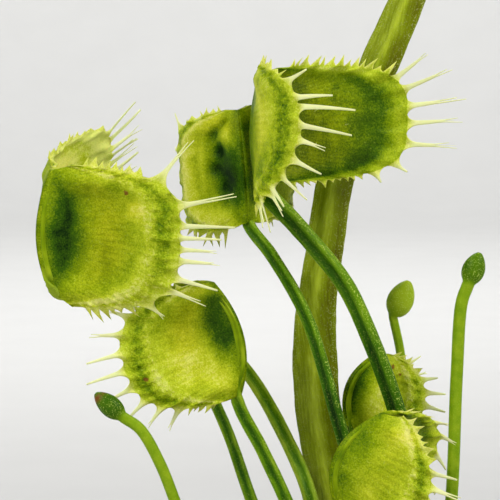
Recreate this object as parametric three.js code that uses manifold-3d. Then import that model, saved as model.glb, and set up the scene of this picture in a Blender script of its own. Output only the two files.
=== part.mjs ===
// A potted Venus flytrap: a tapered round pot full of soil, a short rhizome in the middle of the
// soil, and the leaves that rise from it. Each leaf is a channelled petiole that runs on as the
// midrib of a trap with two dished lobes, whose margins carry long flat cilia and short saw teeth.
// Millimetres, +Z up. The origin is the middle of the pot's underside. -Y is the front.

import * as THREE from 'three';
import { mergeVertices } from 'three/addons/utils/BufferGeometryUtils.js';
import Module from 'manifold-3d';

const wasm = await Module();
wasm.setup();

// ---------------------------------------------------------------- driving dimensions

const POT = {
  topRadius: 45,
  baseRadius: 31,
  height: 80,
  wall: 1.8,
  floor: 2.4,
  rimHeight: 12,
  rimOut: 2.2,
  drainCircle: 17,
  drainRadius: 3.5,
  drains: 6,
  drainSides: 12,
  edge: 0.8, // taken off the rim's sharp edges
  sides: 36,
};
const SOIL = { level: 72, mound: 2.2, grit: 0.35, gritFrom: 12, inset: 1.7, sides: 36, rings: 6 };
const RHIZOME = { radius: 3.6, top: 2.4, depth: 9, sides: 16 };
const GAP = 0.3; // between pieces that touch
const HOLE_CLEARANCE = 0.55; // round a petiole in the soil
const ROOT_DEPTH = 8; // how far a petiole stands in the soil

const BLADE = 0.8; // thickness of a lobe
const HINGE = 2.2; // thickness at the midrib's line, along the way that the trap opens
const HINGE_REACH = 2.5; // how far from that line the lobe gets down to its own thickness
const ROWS = [0.22, 0.5, 0.8]; // rows of points between the midrib and the margin
const COLUMNS = 10; // across a lobe, from its petiole end to its tip
const FEWER_COLUMNS = 7; // on the traps of the low leaves
const FOLD_AT = 0.8; // where the glandular zone ends and the margin zone folds up
const FOLD_REACH = 0.16;
const HOLLOW = { at: 0.38, reach: 0.34 }; // the middle of a lobe's hollow, by fraction of its width
const WAVE = 0.35; // of the margin at the two ends of a lobe
const OUTLINE_START = 2; // how far off the midrib's line the margin starts and ends
const SAW_TOOTH = 1.1;
const SAW_PITCH = 2;
const SAW_ENDS = 0.04; // fraction of the margin that has no teeth at each end
const CILIUM_ROOT = 1.7; // the widest root of a cilium
const NECK = { over: 2.75, at: 0.22, width: 0.48 }; // a tooth longer than over narrows to its neck
const MIDRIB_HALF = [0.8, 0.4]; // half thickness of the midrib at the trap's base and tip
const MIDRIB_BACK = 0.1; // how far it stands out behind the lobes
const PETIOLE_SIDES = 8;
const PETIOLE_STEP = 6; // between the sections of a petiole
const PETIOLE_DEPTH = { part: 0.85, most: 1.5 }; // half depth: a part of the half width, up to most
const CHANNEL = 0.45; // height of the channel's floor, as a part of the half depth

const COLOURS = {
  pot: 0xa8583a,
  soil: 0x3a2a1d,
  rhizome: 0xdfe0b0,
  leaf: 0x8db52a,
  tall: 0x7f8a1c,
  young: 0x6fae25,
};

// ---------------------------------------------------------------- leaves

// A lobe's numbers: width from midrib to margin, half of its length at the petiole end and at the
// tip, corner at those two ends (2 is an ellipse, more is squarer), spread in degrees off the
// opening direction at the midrib and at the margin, hollow (how far its middle is pushed into the
// trap), fold (how far the ring at FOLD_AT stands out), skew (how far the margin slides to the
// tip), saw (the height of the saw teeth at the two ends), lean (of the cilia to the tip), and the
// long cilia by length. They stand evenly between two fractions of the margin, counted from the
// petiole end, or at the roots that are listed.

const MATURE_LEAVES = {
  left_front: {
    petiole: [[-5.6, 0.8], [-5, 1.6, 91], [-5, 3, 103], [-6.4, 5, 115.2], [-10.4, 9.4, 124.6],
      [-16.5, 15, 134.2], [-24, 17.4, 141.4], [-33, 11.6, 146.6], [-41.2, -0.6, 147.8]],
    face: [-0.3, -0.5, 1],
    width: [2.6, 1.9],
    trap: {
      base: [-44.5, -6, 148.6], tip: [-44, -9, 166.8], opening: [0.85, 0.5, 0.05], bow: 2.4,
      minus: {
        width: 18.7, half: [11.5, 10.2], corner: [2.6, 5], spread: [22, 54], hollow: 1.2, fold: 1,
        skew: -1.7, lean: 0.17, saw: [1.7, 1.1],
        roots: [0.25, 0.345, 0.39, 0.452, 0.487, 0.526, 0.562, 0.625, 0.724],
        lengths: [3.6, 6.2, 6.6, 6.2, 5.8, 6.4, 8.6, 9.2, 8.4],
      },
      plus: {
        width: 19, half: [10.2, 8.8], corner: [3.2, 9], spread: [78, -8], hollow: 0.2, fold: 0.8,
        skew: 4.1, lean: 0.5, saw: [1, 0.9],
        roots: [0.3, 0.36, 0.42, 0.475, 0.515, 0.54, 0.565, 0.592, 0.62, 0.646],
        lengths: [4.5, 5, 5, 5, 5, 5, 5.2, 5.8, 6.6, 6.2],
      },
    },
  },
  left_low: {
    petiole: [[-4.3, -3.8], [-4, -3.2, 93], [-6.2, -1, 105.1], [-10.2, 0, 115.9], [-13.8, 0, 123.7]],
    face: [-0.3, -1, 0.3],
    width: [2.6, 2],
    trap: {
      base: [-17.9, -1, 132.3], tip: [-22, -2, 149.4], opening: [-0.94, 0.34, -0.12], bow: 2.6,
      plus: {
        width: 15.3, half: [9.3, 9.3], corner: [2.5, 3.2], spread: [14, 40], hollow: 0.9, fold: 0.9,
        skew: -0.5, saw: [1.6, 1], cilia: [0.18, 0.7],
        lengths: [4.2, 4, 4.6, 4.8, 6.3, 5.8, 5.2, 3.6],
      },
      minus: {
        width: 15, half: [9.4, 9.4], corner: [2.5, 2.5], spread: [18, 36], hollow: -0.3, fold: 0.6,
        skew: 0, cilia: [0.26, 0.72], lengths: [4, 5, 5.5, 5.5, 5, 4],
      },
    },
  },
  middle_back: {
    petiole: [[4, -4.1], [4.4, -3.4, 86], [3.6, -2, 99.6], [1.2, -1.2, 114.9], [-2.5, -1, 128.5],
      [-7.3, 1, 144.1], [-12.4, 3, 153]],
    face: [-0.6, -0.8, 0.2],
    width: [2.7, 2],
    trap: {
      base: [-16.1, 5.4, 158], tip: [-17.6, 6, 175], opening: [-0.12, 0.98, 0.1], bow: 1.2,
      plus: {
        width: 14.6, half: [9, 9], corner: [3, 5], spread: [62, 10], hollow: 0.4, fold: 0.7,
        skew: -2.2, saw: [2.2, 1.2], cilia: [0.34, 0.72], lengths: [3.5, 4.5, 5, 5, 4],
      },
      minus: {
        width: 14, half: [9, 9], corner: [3, 3], spread: [66, 12], hollow: 0.2, fold: 0.5,
        skew: 0.6, cilia: [0.3, 0.7], lengths: [4, 5, 5, 5, 4.5, 4],
      },
    },
  },
  right_high: {
    petiole: [[5.8, -0.3], [8.4, 0, 86], [10.8, 0.8, 97.8], [10.4, 1.4, 110.1], [8.5, 2, 122],
      [6.2, 1.2, 130.4], [3, 0.4, 139.2], [-1.5, -0.4, 149], [-6.2, -0.6, 155],
      [-9.2, -0.4, 158.4]],
    face: [-0.7, -0.7, 0.2],
    width: [3.2, 2.9],
    trap: {
      base: [-13.9, 1.1, 163.8], tip: [-13.4, 2, 180.6], opening: [0.893, -0.428, 0.138], bow: 1.4,
      plus: {
        width: 22.4, half: [8.2, 9.2], corner: [4, 3.6], spread: [56, 16], hollow: -1.4, fold: 0.8,
        skew: 1.9, saw: [1, 1.9], roots: [0.305, 0.365, 0.43, 0.49, 0.541, 0.593, 0.635],
        lengths: [2, 2.6, 8.2, 8.4, 9.2, 8.2, 6.4],
      },
      minus: {
        width: 16, half: [11.9, 9.7], corner: [2, 2.7], spread: [82, 6], hollow: 0.2, fold: 0.7,
        skew: 0.2, lean: -0.15, saw: [1.3, 1.1],
        roots: [0.1, 0.15, 0.205, 0.25, 0.31, 0.39, 0.465, 0.518, 0.586, 0.62, 0.694],
        lengths: [4, 5.5, 4.6, 4, 5.6, 5.2, 4.6, 8.2, 8.6, 5.8, 4],
      },
    },
  },
  right_middle: {
    petiole: [[4.1, 4.1], [4.8, 5, 92], [2.4, 5.4, 106.1], [0, 5, 118.6]],
    face: [-0.6, -0.6, 0.4],
    width: [2.4, 1.7],
    trap: {
      base: [-0.5, 4.6, 126.9], tip: [4.1, 5.6, 137.6], opening: [0.8, 0.52, -0.3], bow: 2.8,
      minus: {
        width: 9.4, half: [6.8, 6.8], corner: [2.4, 2.4], spread: [20, 42], hollow: 0.2, fold: 0.6,
        skew: 0, cilia: [0.3, 0.74], lengths: [2.4, 2.8, 3.3, 3.4, 3.2, 2.6],
      },
      plus: {
        width: 11.5, half: [6.4, 6.4], corner: [2.4, 2.4], spread: [16, 26], hollow: -0.3, fold: 0.5,
        skew: 1.5, cilia: [0.3, 0.74], lengths: [2.4, 3.2, 3.6, 3.6, 3],
      },
    },
  },
  right_front: {
    petiole: [[-0.7, -5.8], [-1.8, -8, 94.8], [-2.8, -11, 108.9]],
    face: [-0.6, -0.6, 0.4],
    width: [2.5, 1.9],
    trap: {
      base: [-2.9, -14, 118], tip: [3.8, -14.8, 131.4], opening: [0.76, 0.54, -0.36], bow: 4,
      minus: {
        width: 11.4, half: [9, 9], corner: [2.6, 2.1], spread: [24, 44], hollow: -0.4, fold: 0.9,
        skew: -2, saw: [1, 1.2], cilia: [0.26, 0.68], lengths: [4, 5, 5.8, 6.4, 6.4, 5.6, 4],
      },
      plus: {
        width: 17, half: [8.4, 8.4], corner: [2.6, 2.6], spread: [14, 22], hollow: 0.6, fold: 0.7,
        skew: 2.4, lean: -0.6, cilia: [0.28, 0.7], lengths: [4, 5.4, 5.8, 5.4, 4.4, 3],
      },
    },
  },
  left_hidden: {
    petiole: [[-4.5, 4.3], [-6.6, 6, 91.2], [-11.3, 8, 103.4], [-15.8, 10, 115.2], [-19, 13.4, 124]],
    face: [-0.3, -0.5, 0.6],
    width: [2.5, 1.8],
    trap: {
      base: [-21.8, 16, 130], tip: [-26.3, 17.5, 138.6], opening: [-0.3, 0.95, 0.1], bow: 0.8,
      minus: {
        width: 8.5, half: [5.4, 5.4], corner: [2.4, 2.4], spread: [34, 6], hollow: -0.3, fold: 0.3,
        skew: 0, cilia: [0.28, 0.74], lengths: [1.8, 2.4, 2.6, 2.6, 2],
      },
      plus: {
        width: 8.5, half: [5.4, 5.4], corner: [2.4, 2.4], spread: [34, 6], hollow: -0.3, fold: 0.3,
        skew: 0, cilia: [0.28, 0.74], lengths: [1.8, 2.4, 2.6, 2.6, 2],
      },
    },
  },
  tall_back: {
    petiole: [[0, 6.6], [-0.2, 7, 84], [-1.1, 8, 99.2], [-2.8, 9, 114.7], [-5.2, 10, 128],
      [-5.7, 10, 142], [-4.3, 10, 153.3], [-2.3, 10, 165.6], [2.6, 10, 178.5], [8.2, 10.4, 191.4]],
    face: [0.25, 1, 0.1],
    width: [4.2, 4.4, 6, 7.2, 7.2, 5.9, 5.7, 5.9, 5],
    trap: {
      base: [11.2, 11, 198.4], tip: [18, 13, 214], opening: [0.3, 0.86, -0.2], bow: 1.6,
      minus: {
        width: 14.5, half: [9.4, 9.4], corner: [2.7, 2.7], spread: [50, 30], hollow: -0.8, fold: 0.7,
        skew: 0, cilia: [0.28, 0.74], lengths: [4, 5.4, 6.2, 6.4, 6.4, 5.6, 4.2],
      },
      plus: {
        width: 14.5, half: [9.4, 9.4], corner: [2.7, 2.7], spread: [50, 30], hollow: -0.8, fold: 0.7,
        skew: 0, cilia: [0.28, 0.74], lengths: [4, 5.4, 6.2, 6.4, 6.4, 5.6, 4.2],
      },
    },
  },
};

// Low leaves of the rosette: the bearing of each from +X in degrees, how far out its trap is, and
// how high.
const LOW_LEAVES = {
  low_back_right: { bearing: 60, reach: 40, rise: 16, trapLength: 15 },
  low_back: { bearing: 112, reach: 42, rise: 12, trapLength: 17 },
  low_back_left: { bearing: 160, reach: 38, rise: 16, trapLength: 14 },
  low_front_right: { bearing: 318, reach: 38, rise: 17, trapLength: 16 },
  low_front_left: { bearing: 236, reach: 36, rise: 17, trapLength: 15 },
};

// Young leaves: a slim stalk and a closed head like a bud.
const YOUNG_LEAVES = {
  young_left: {
    stalk: [[-7.6, -3.6], [-9.4, -4, 82], [-16.5, -4, 92.6], [-23.2, -5, 106.5], [-27, -5.4, 117.2],
      [-29.2, -5.8, 122.9], [-32.1, -6, 128], [-34.5, -6, 129.7]],
    tip: [-38.8, -6, 133.4], width: 1.7, head: [3.2, 2.6],
  },
  young_right_far: {
    stalk: [[7.6, 5.6], [9.4, 8, 86], [10.4, 10, 98], [9.3, 14, 111.5], [9, 17.6, 125.3],
      [7.9, 18.4, 136.3], [6.7, 18.4, 142]],
    tip: [9.2, 18.4, 147.8], width: 1.4, head: [4.2, 3.2],
  },
  young_right_near: {
    stalk: [[9, 1.6], [11.4, 2.4, 86], [13, 3, 97.2], [14.9, 3, 115.5], [15.6, 3, 134.8],
      [16.3, 3, 146], [17.2, 3, 148.6]],
    tip: [19, 3, 153.6], width: 1.9, head: [3.5, 2.6],
  },
};

// ---------------------------------------------------------------- small helpers

const vector = (p) => new THREE.Vector3(p[0], p[1], p[2]);
const radians = THREE.MathUtils.degToRad;
const clamp = THREE.MathUtils.clamp;
const lerp = THREE.MathUtils.lerp;

// The height of the soil above its level, at a distance from the middle.
const mound = (radius) => SOIL.mound * (1 - (radius / POT.topRadius) ** 2);

function toSolid(geometry) {
  geometry.deleteAttribute('normal');
  geometry.deleteAttribute('uv');
  const merged = mergeVertices(geometry, 1e-4);
  const vertProperties = new Float32Array(merged.attributes.position.array);
  const triVerts = new Uint32Array(merged.index.array);
  return new wasm.Manifold(new wasm.Mesh({ numProp: 3, vertProperties, triVerts }));
}

// The largest body of a solid: a join can leave a loose crumb, which is dropped.
function toGeometry(solid) {
  const bodies = solid.decompose();
  const [main] = bodies.sort((a, b) => b.volume() - a.volume());
  const mesh = main.getMesh();
  const geometry = new THREE.BufferGeometry();
  geometry.setAttribute('position', new THREE.BufferAttribute(mesh.vertProperties, 3));
  geometry.setIndex(new THREE.BufferAttribute(mesh.triVerts, 1));
  return geometry;
}

// A closed surface from points and triangles, turned so that it faces out.
function closedGeometry(points, triangles) {
  let volume = 0;
  for (const [a, b, c] of triangles) {
    volume += points[a].dot(points[b].clone().cross(points[c]));
  }
  const facing = volume > 0 ? triangles : triangles.map(([a, b, c]) => [a, c, b]);
  const geometry = new THREE.BufferGeometry().setFromPoints(points);
  geometry.setIndex(facing.flat());
  return geometry;
}

// Skins a row of rings of points, all with the same count, and closes both ends.
function loft(rings) {
  const sides = rings[0].length;
  const points = rings.flat();
  const triangles = [];
  for (let ring = 0; ring + 1 < rings.length; ring += 1) {
    for (let side = 0; side < sides; side += 1) {
      const a = ring * sides + side;
      const b = ring * sides + ((side + 1) % sides);
      triangles.push([a, b, b + sides], [a, b + sides, a + sides]);
    }
  }
  for (const [start, turn] of [[0, 1], [(rings.length - 1) * sides, -1]]) {
    const middle = new THREE.Vector3();
    for (let side = 0; side < sides; side += 1) {
      middle.addScaledVector(points[start + side], 1 / sides);
    }
    points.push(middle);
    for (let side = 0; side < sides; side += 1) {
      const pair = [start + side, start + ((side + 1) % sides)];
      triangles.push(turn > 0 ? [points.length - 1, pair[1], pair[0]] : [points.length - 1, ...pair]);
    }
  }
  return closedGeometry(points, triangles);
}

// The value at t, from 0 to 1, of a list of values spread evenly and joined smoothly.
function along(values, t) {
  const place = clamp(t, 0, 1) * (values.length - 1);
  const index = Math.min(Math.floor(place), values.length - 2);
  return lerp(values[index], values[index + 1], THREE.MathUtils.smoothstep(place - index, 0, 1));
}

// ---------------------------------------------------------------- petioles

// A stem's own curve, from its foot in the soil through its points.
function stemCurve(points, last) {
  const [footX, footY] = points[0];
  const ground = SOIL.level + mound(Math.hypot(footX, footY));
  const foot = new THREE.Vector3(footX, footY, ground - ROOT_DEPTH);
  const collar = new THREE.Vector3(footX, footY, ground + 3);
  const rest = points.slice(1).map(vector);
  return new THREE.CatmullRomCurve3([foot, collar, ...rest, ...last], false, 'centripetal');
}

// The sections of a stem: its place, middle, and the two directions across it. The face is
// the way that the channel of a petiole looks.
function stemFrames(curve, face, step) {
  const count = Math.max(4, Math.round(curve.getLength() / step));
  const frames = [];
  for (let index = 0; index <= count; index += 1) {
    const middle = curve.getPointAt(index / count);
    const tangent = curve.getTangentAt(index / count);
    const front = face.clone().addScaledVector(tangent, -face.dot(tangent)).normalize();
    const across = tangent.clone().cross(front);
    frames.push({ at: index / count, middle, front, across });
  }
  return frames;
}

// One ring of a petiole: rounded, keeled at the back and channelled in front.
function petioleRing(frame, halfWidth, halfDepth) {
  const ring = [];
  for (let side = 0; side < PETIOLE_SIDES; side += 1) {
    const angle = (side / PETIOLE_SIDES) * Math.PI * 2;
    const channel = side === PETIOLE_SIDES / 4 ? CHANNEL : 1;
    ring.push(frame.middle.clone()
      .addScaledVector(frame.across, Math.cos(angle) * halfWidth)
      .addScaledVector(frame.front, Math.sin(angle) * channel * halfDepth));
  }
  return ring;
}

// The hole that a stem stands in, a little wider and deeper than the stem's foot.
function stemHole(frames, halfWidth, halfDepth) {
  const [foot] = frames;
  const rings = [-GAP, ROOT_DEPTH + SOIL.mound + 1].map((rise) => {
    const middle = foot.middle.clone().add(new THREE.Vector3(0, 0, rise));
    const ring = [];
    for (let side = 0; side < PETIOLE_SIDES; side += 1) {
      const angle = (side / PETIOLE_SIDES) * Math.PI * 2;
      ring.push(middle.clone()
        .addScaledVector(foot.across, Math.cos(angle) * (halfWidth + HOLE_CLEARANCE))
        .addScaledVector(foot.front, Math.sin(angle) * (halfDepth + HOLE_CLEARANCE)));
    }
    return ring;
  });
  return toSolid(loft(rings));
}

// ---------------------------------------------------------------- trap lobes

// The first of a pair at the petiole end of a lobe, where x is negative, and the second at its tip.
const byEnd = ([base, tip], x) => (x < 0 ? base : tip);

// The outline of a lobe in its own flat plane, as points evenly spaced by length. x runs along
// the midrib to the tip, y from the midrib to the margin.
function lobeOutline(lobe) {
  const fine = 240;
  const [fromBase, fromTip] = lobe.corner.map((corner) => (
    Math.asin((OUTLINE_START / lobe.width) ** (corner / 2))));
  const points = [];
  for (let index = 0; index <= fine; index += 1) {
    const angle = lerp(fromBase, Math.PI - fromTip, index / fine);
    const toTip = -Math.cos(angle);
    const power = 2 / byEnd(lobe.corner, toTip);
    points.push({
      x: Math.sign(toTip) * Math.abs(toTip) ** power * byEnd(lobe.half, toTip),
      y: Math.sin(angle) ** power * lobe.width,
    });
  }
  const lengths = [0];
  for (let index = 1; index <= fine; index += 1) {
    const step = Math.hypot(points[index].x - points[index - 1].x, points[index].y - points[index - 1].y);
    lengths.push(lengths[index - 1] + step);
  }
  return { points, lengths, total: lengths[fine] };
}

// The outline's point at a fraction of its length.
function outlineAt(outline, fraction) {
  const target = clamp(fraction, 0, 1) * outline.total;
  let index = 1;
  while (index < outline.lengths.length - 1 && outline.lengths[index] < target) {
    index += 1;
  }
  const before = outline.lengths[index - 1];
  const part = (target - before) / (outline.lengths[index] - before);
  const from = outline.points[index - 1];
  const to = outline.points[index];
  return { x: lerp(from.x, to.x, part), y: lerp(from.y, to.y, part) };
}

// The trap's own directions: along runs from its base to its tip, open is the way that it opens,
// and side points to its plus lobe.
function trapAxes(trap) {
  const base = vector(trap.base);
  const tip = vector(trap.tip);
  const along3 = tip.clone().sub(base).normalize();
  const opening = vector(trap.opening);
  const open = opening.addScaledVector(along3, -opening.dot(along3)).normalize();
  const side = along3.clone().cross(open);
  const middle = base.clone().add(tip).multiplyScalar(0.5);
  return { middle, along: along3, open, side, half: base.distanceTo(tip) / 2 };
}

// How far the midrib bows away from the opening at x.
const midribBow = (trap, axes, x) => trap.bow * clamp(1 - (x / axes.half) ** 2, -0.25, 1);

// A point of a lobe from its flat place (x, y). The lobe leaves the midrib at spread[0] and its
// direction turns evenly to spread[1] at the margin. sign is +1 for the plus lobe.
function bentPoint(trap, axes, lobe, sign, x, y) {
  const t = y / lobe.width;
  const from = radians(lobe.spread[0]);
  const turn = radians(lobe.spread[1] - lobe.spread[0]);
  const out = (lobe.width * (Math.cos(from) - Math.cos(from + turn * t))) / turn;
  const up = (lobe.width * (Math.sin(from + turn * t) - Math.sin(from))) / turn;
  const slide = x + lobe.skew * t;
  const bow = midribBow(trap, axes, x) * (1 - clamp(t, 0, 1)) ** 1.5;
  return axes.middle.clone()
    .addScaledVector(axes.along, slide)
    .addScaledVector(axes.side, sign * out)
    .addScaledVector(axes.open, up - bow);
}

// The direction square to the lobe at y, to the inside of the trap.
function inward(axes, lobe, sign, y) {
  const angle = radians(lerp(lobe.spread[0], lobe.spread[1], y / lobe.width));
  return axes.side.clone().multiplyScalar(-sign * Math.cos(angle))
    .addScaledVector(axes.open, Math.sin(angle));
}

const bump = (value, middle, reach) => Math.exp(-(((value - middle) / reach) ** 2));

// A lobe's surface: the bent sheet, hollowed in its middle, folded out in a ring inside the
// margin, and waved at its two ends.
function lobePoint(trap, axes, lobe, sign, x, y) {
  const corner = byEnd(lobe.corner, x);
  const t = y / lobe.width;
  const rim = ((Math.abs(x) / byEnd(lobe.half, x)) ** corner + t ** corner) ** (1 / corner);
  const lift = clamp(t / 0.2, 0, 1);
  const hollow = lobe.hollow * (1 - Math.min(rim, 1) ** 3) * bump(t, HOLLOW.at, HOLLOW.reach);
  const fold = -lobe.fold * bump(rim, FOLD_AT, FOLD_REACH);
  const wave = WAVE * Math.min(rim, 1) ** 8 * Math.sin(x * 1.9 + y * 1.3) * (1 - 0.5 * t);
  return bentPoint(trap, axes, lobe, sign, x, y)
    .addScaledVector(inward(axes, lobe, sign, y), lift * (hollow + fold + wave));
}

// The margin's points by fraction, and the tooth that stands on each stretch between them.
function marginPlan(lobe, outline) {
  const count = lobe.lengths.length;
  const roots = lobe.roots ?? lobe.lengths.map((_, index) => lerp(...lobe.cilia, index / (count - 1)));
  const pitches = roots.slice(1).map((root, index) => root - roots[index]);
  const rootHalf = (index) => {
    const pitch = Math.min(pitches[index - 1] ?? 1, pitches[index] ?? 1);
    return Math.min(0.62 * pitch, CILIUM_ROOT / outline.total) / 2;
  };
  const fractions = [0];
  const teeth = [];
  const saw = (to, scale) => {
    const from = fractions[fractions.length - 1];
    const pitch = lobe.sawPitch ?? SAW_PITCH;
    const number = Math.max(1, Math.round(((to - from) * outline.total) / pitch));
    for (let index = 1; index <= number; index += 1) {
      const middle = lerp(from, to, (index - 0.5) / number);
      const bare = Math.min(middle, 1 - middle) < SAW_ENDS;
      fractions.push(lerp(from, to, index / number));
      teeth.push(bare ? 0 : SAW_TOOTH * scale);
    }
  };
  const [baseSaw, tipSaw] = lobe.saw ?? [1, 1];
  saw(roots[0] - rootHalf(0), baseSaw);
  roots.forEach((root, index) => {
    if (index > 0) {
      fractions.push(root - rootHalf(index));
      teeth.push(0);
    }
    fractions.push(root + rootHalf(index));
    teeth.push(lobe.lengths[index]);
  });
  saw(1, tipSaw);
  return { fractions, teeth };
}

// The way that a tooth points: out of the outline, along the lobe, and a little into the trap.
function toothDirection(trap, axes, lobe, sign, outline, fraction) {
  const before = outlineAt(outline, fraction - 0.02);
  const after = outlineAt(outline, fraction + 0.02);
  const place = outlineAt(outline, fraction);
  const length = Math.hypot(after.x - before.x, after.y - before.y);
  const outX = (-(after.y - before.y) / length) * 0.8;
  const outY = (after.x - before.x) / length + 0.25;
  const from = bentPoint(trap, axes, lobe, sign, place.x, place.y);
  const to = bentPoint(trap, axes, lobe, sign, place.x + outX * 0.5, place.y + outY * 0.5);
  return to.sub(from).normalize()
    .addScaledVector(axes.along, lobe.lean ?? 0)
    .addScaledVector(inward(axes, lobe, sign, place.y), 0.12)
    .normalize();
}

// Joins two rows of points, given by their fractions, with triangles of row indices.
function zip(fromFractions, toFractions) {
  const triangles = [];
  let from = 0;
  let to = 0;
  while (from < fromFractions.length - 1 || to < toFractions.length - 1) {
    const nextFrom = from < fromFractions.length - 1 ? fromFractions[from + 1] : Infinity;
    const nextTo = to < toFractions.length - 1 ? toFractions[to + 1] : Infinity;
    if (nextFrom <= nextTo) {
      triangles.push([['from', from], ['from', from + 1], ['to', to]]);
      from += 1;
    } else {
      triangles.push([['from', from], ['to', to + 1], ['to', to]]);
      to += 1;
    }
  }
  return triangles;
}

// Both lobes as one closed blade, from the minus margin over the midrib to the plus margin.
function trapBlade(trap) {
  const axes = trapAxes(trap);
  const points = [];
  const rows = [];
  const columns = trap.columns ?? COLUMNS;
  const evenly = Array.from({ length: columns + 1 }, (_, index) => index / columns);

  const addRow = (lobe, sign, outline, v, fractions) => {
    const row = { fractions, inner: [], outer: [] };
    for (const fraction of fractions) {
      const place = outlineAt(outline, fraction);
      const hingeX = lerp(-axes.half, axes.half, fraction);
      const x = lerp(hingeX, place.x, v);
      const y = place.y * v;
      const here = lobePoint(trap, axes, lobe, sign, x, y);
      const free = THREE.MathUtils.smoothstep(y, 0, HINGE_REACH);
      const facing = axes.open.clone().lerp(inward(axes, lobe, sign, y), free).normalize();
      const half = lerp(HINGE, BLADE, free) / 2;
      row.inner.push(points.push(here.clone().addScaledVector(facing, half)) - 1);
      row.outer.push(points.push(here.clone().addScaledVector(facing, -half)) - 1);
    }
    return row;
  };

  const plans = {};
  for (const [name, sign] of [['minus', -1], ['plus', 1]]) {
    const lobe = trap[name];
    const outline = lobeOutline(lobe);
    plans[name] = { lobe, sign, outline, ...marginPlan(lobe, outline) };
  }
  const { minus, plus } = plans;
  rows.push(addRow(minus.lobe, -1, minus.outline, 1, minus.fractions));
  for (const v of [...ROWS].reverse()) {
    rows.push(addRow(minus.lobe, -1, minus.outline, v, evenly));
  }
  rows.push(addRow(plus.lobe, 1, plus.outline, 0, evenly));
  for (const v of ROWS) {
    rows.push(addRow(plus.lobe, 1, plus.outline, v, evenly));
  }
  rows.push(addRow(plus.lobe, 1, plus.outline, 1, plus.fractions));

  const triangles = [];
  for (let index = 0; index + 1 < rows.length; index += 1) {
    const from = rows[index];
    const to = rows[index + 1];
    const rowOf = { from, to };
    for (const corners of zip(from.fractions, to.fractions)) {
      triangles.push(corners.map(([row, place]) => rowOf[row].inner[place]));
      triangles.push(corners.map(([row, place]) => rowOf[row].outer[place]).reverse());
    }
    const lastFrom = from.fractions.length - 1;
    const lastTo = to.fractions.length - 1;
    triangles.push([from.inner[0], to.inner[0], to.outer[0]]);
    triangles.push([from.inner[0], to.outer[0], from.outer[0]]);
    triangles.push([from.inner[lastFrom], to.outer[lastTo], to.inner[lastTo]]);
    triangles.push([from.inner[lastFrom], from.outer[lastFrom], to.outer[lastTo]]);
  }

  // A tooth stands on the margin's edge between two neighbouring points of it.
  const addTooth = (corners, plan, index) => {
    const length = plan.teeth[index];
    if (length === 0) {
      triangles.push([corners[0], corners[1], corners[2]], [corners[0], corners[2], corners[3]]);
      return;
    }
    const fraction = (plan.fractions[index] + plan.fractions[index + 1]) / 2;
    const way = toothDirection(trap, axes, plan.lobe, plan.sign, plan.outline, fraction);
    const middle = new THREE.Vector3();
    corners.forEach((corner) => middle.addScaledVector(points[corner], 0.25));
    const tip = points.push(middle.clone().addScaledVector(way, length)) - 1;
    let ring = corners;
    if (length > NECK.over) {
      const neck = middle.clone().addScaledVector(way, NECK.at * length);
      ring = corners.map((corner) => {
        const arm = points[corner].clone().sub(middle);
        return points.push(neck.clone().addScaledVector(arm, NECK.width)) - 1;
      });
      for (let side = 0; side < 4; side += 1) {
        const next = (side + 1) % 4;
        triangles.push([corners[side], corners[next], ring[next]]);
        triangles.push([corners[side], ring[next], ring[side]]);
      }
    }
    for (let side = 0; side < 4; side += 1) {
      triangles.push([ring[side], ring[(side + 1) % 4], tip]);
    }
  };
  for (const [row, plan, turned] of [[rows[0], minus, false], [rows[rows.length - 1], plus, true]]) {
    for (let index = 0; index + 1 < row.fractions.length; index += 1) {
      const corners = [row.inner[index], row.outer[index], row.outer[index + 1], row.inner[index + 1]];
      addTooth(turned ? corners.reverse() : corners, plan, index);
    }
  }
  return closedGeometry(points, triangles);
}

// ---------------------------------------------------------------- pieces

const plant = new THREE.Group();
const holes = [];

function addPiece(name, geometry, colour, roughness = 0.6) {
  const material = new THREE.MeshStandardMaterial({ color: colour, roughness, metalness: 0 });
  const mesh = new THREE.Mesh(geometry, material);
  mesh.name = name;
  plant.add(mesh);
}

// A whole leaf: the petiole runs on along the back of the trap as its midrib.
function leafGeometry(leaf) {
  const { trap } = leaf;
  const axes = trapAxes(trap);
  const midrib = [-1, -0.4, 0.3, 0.94].map((part) => axes.middle.clone()
    .addScaledVector(axes.along, part * axes.half)
    .addScaledVector(axes.open, -midribBow(trap, axes, part * axes.half) - MIDRIB_BACK));
  const petiole = stemCurve(leaf.petiole, [midrib[0]]);
  const curve = stemCurve(leaf.petiole, midrib);
  const joint = petiole.getLength() / curve.getLength();
  const frames = stemFrames(curve, vector(leaf.face), PETIOLE_STEP);
  const footHalf = leaf.width[0] / 2;
  const rings = frames.map((frame) => {
    if (frame.at > joint) {
      const half = lerp(...MIDRIB_HALF, (frame.at - joint) / (1 - joint));
      return petioleRing(frame, half, half);
    }
    const half = along(leaf.width, frame.at / joint) / 2;
    return petioleRing(frame, half, Math.min(half * PETIOLE_DEPTH.part, PETIOLE_DEPTH.most));
  });
  holes.push(stemHole(frames, footHalf, Math.min(footHalf, PETIOLE_DEPTH.most)));
  return toGeometry(toSolid(loft(rings)).add(toSolid(trapBlade(trap))));
}

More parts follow.
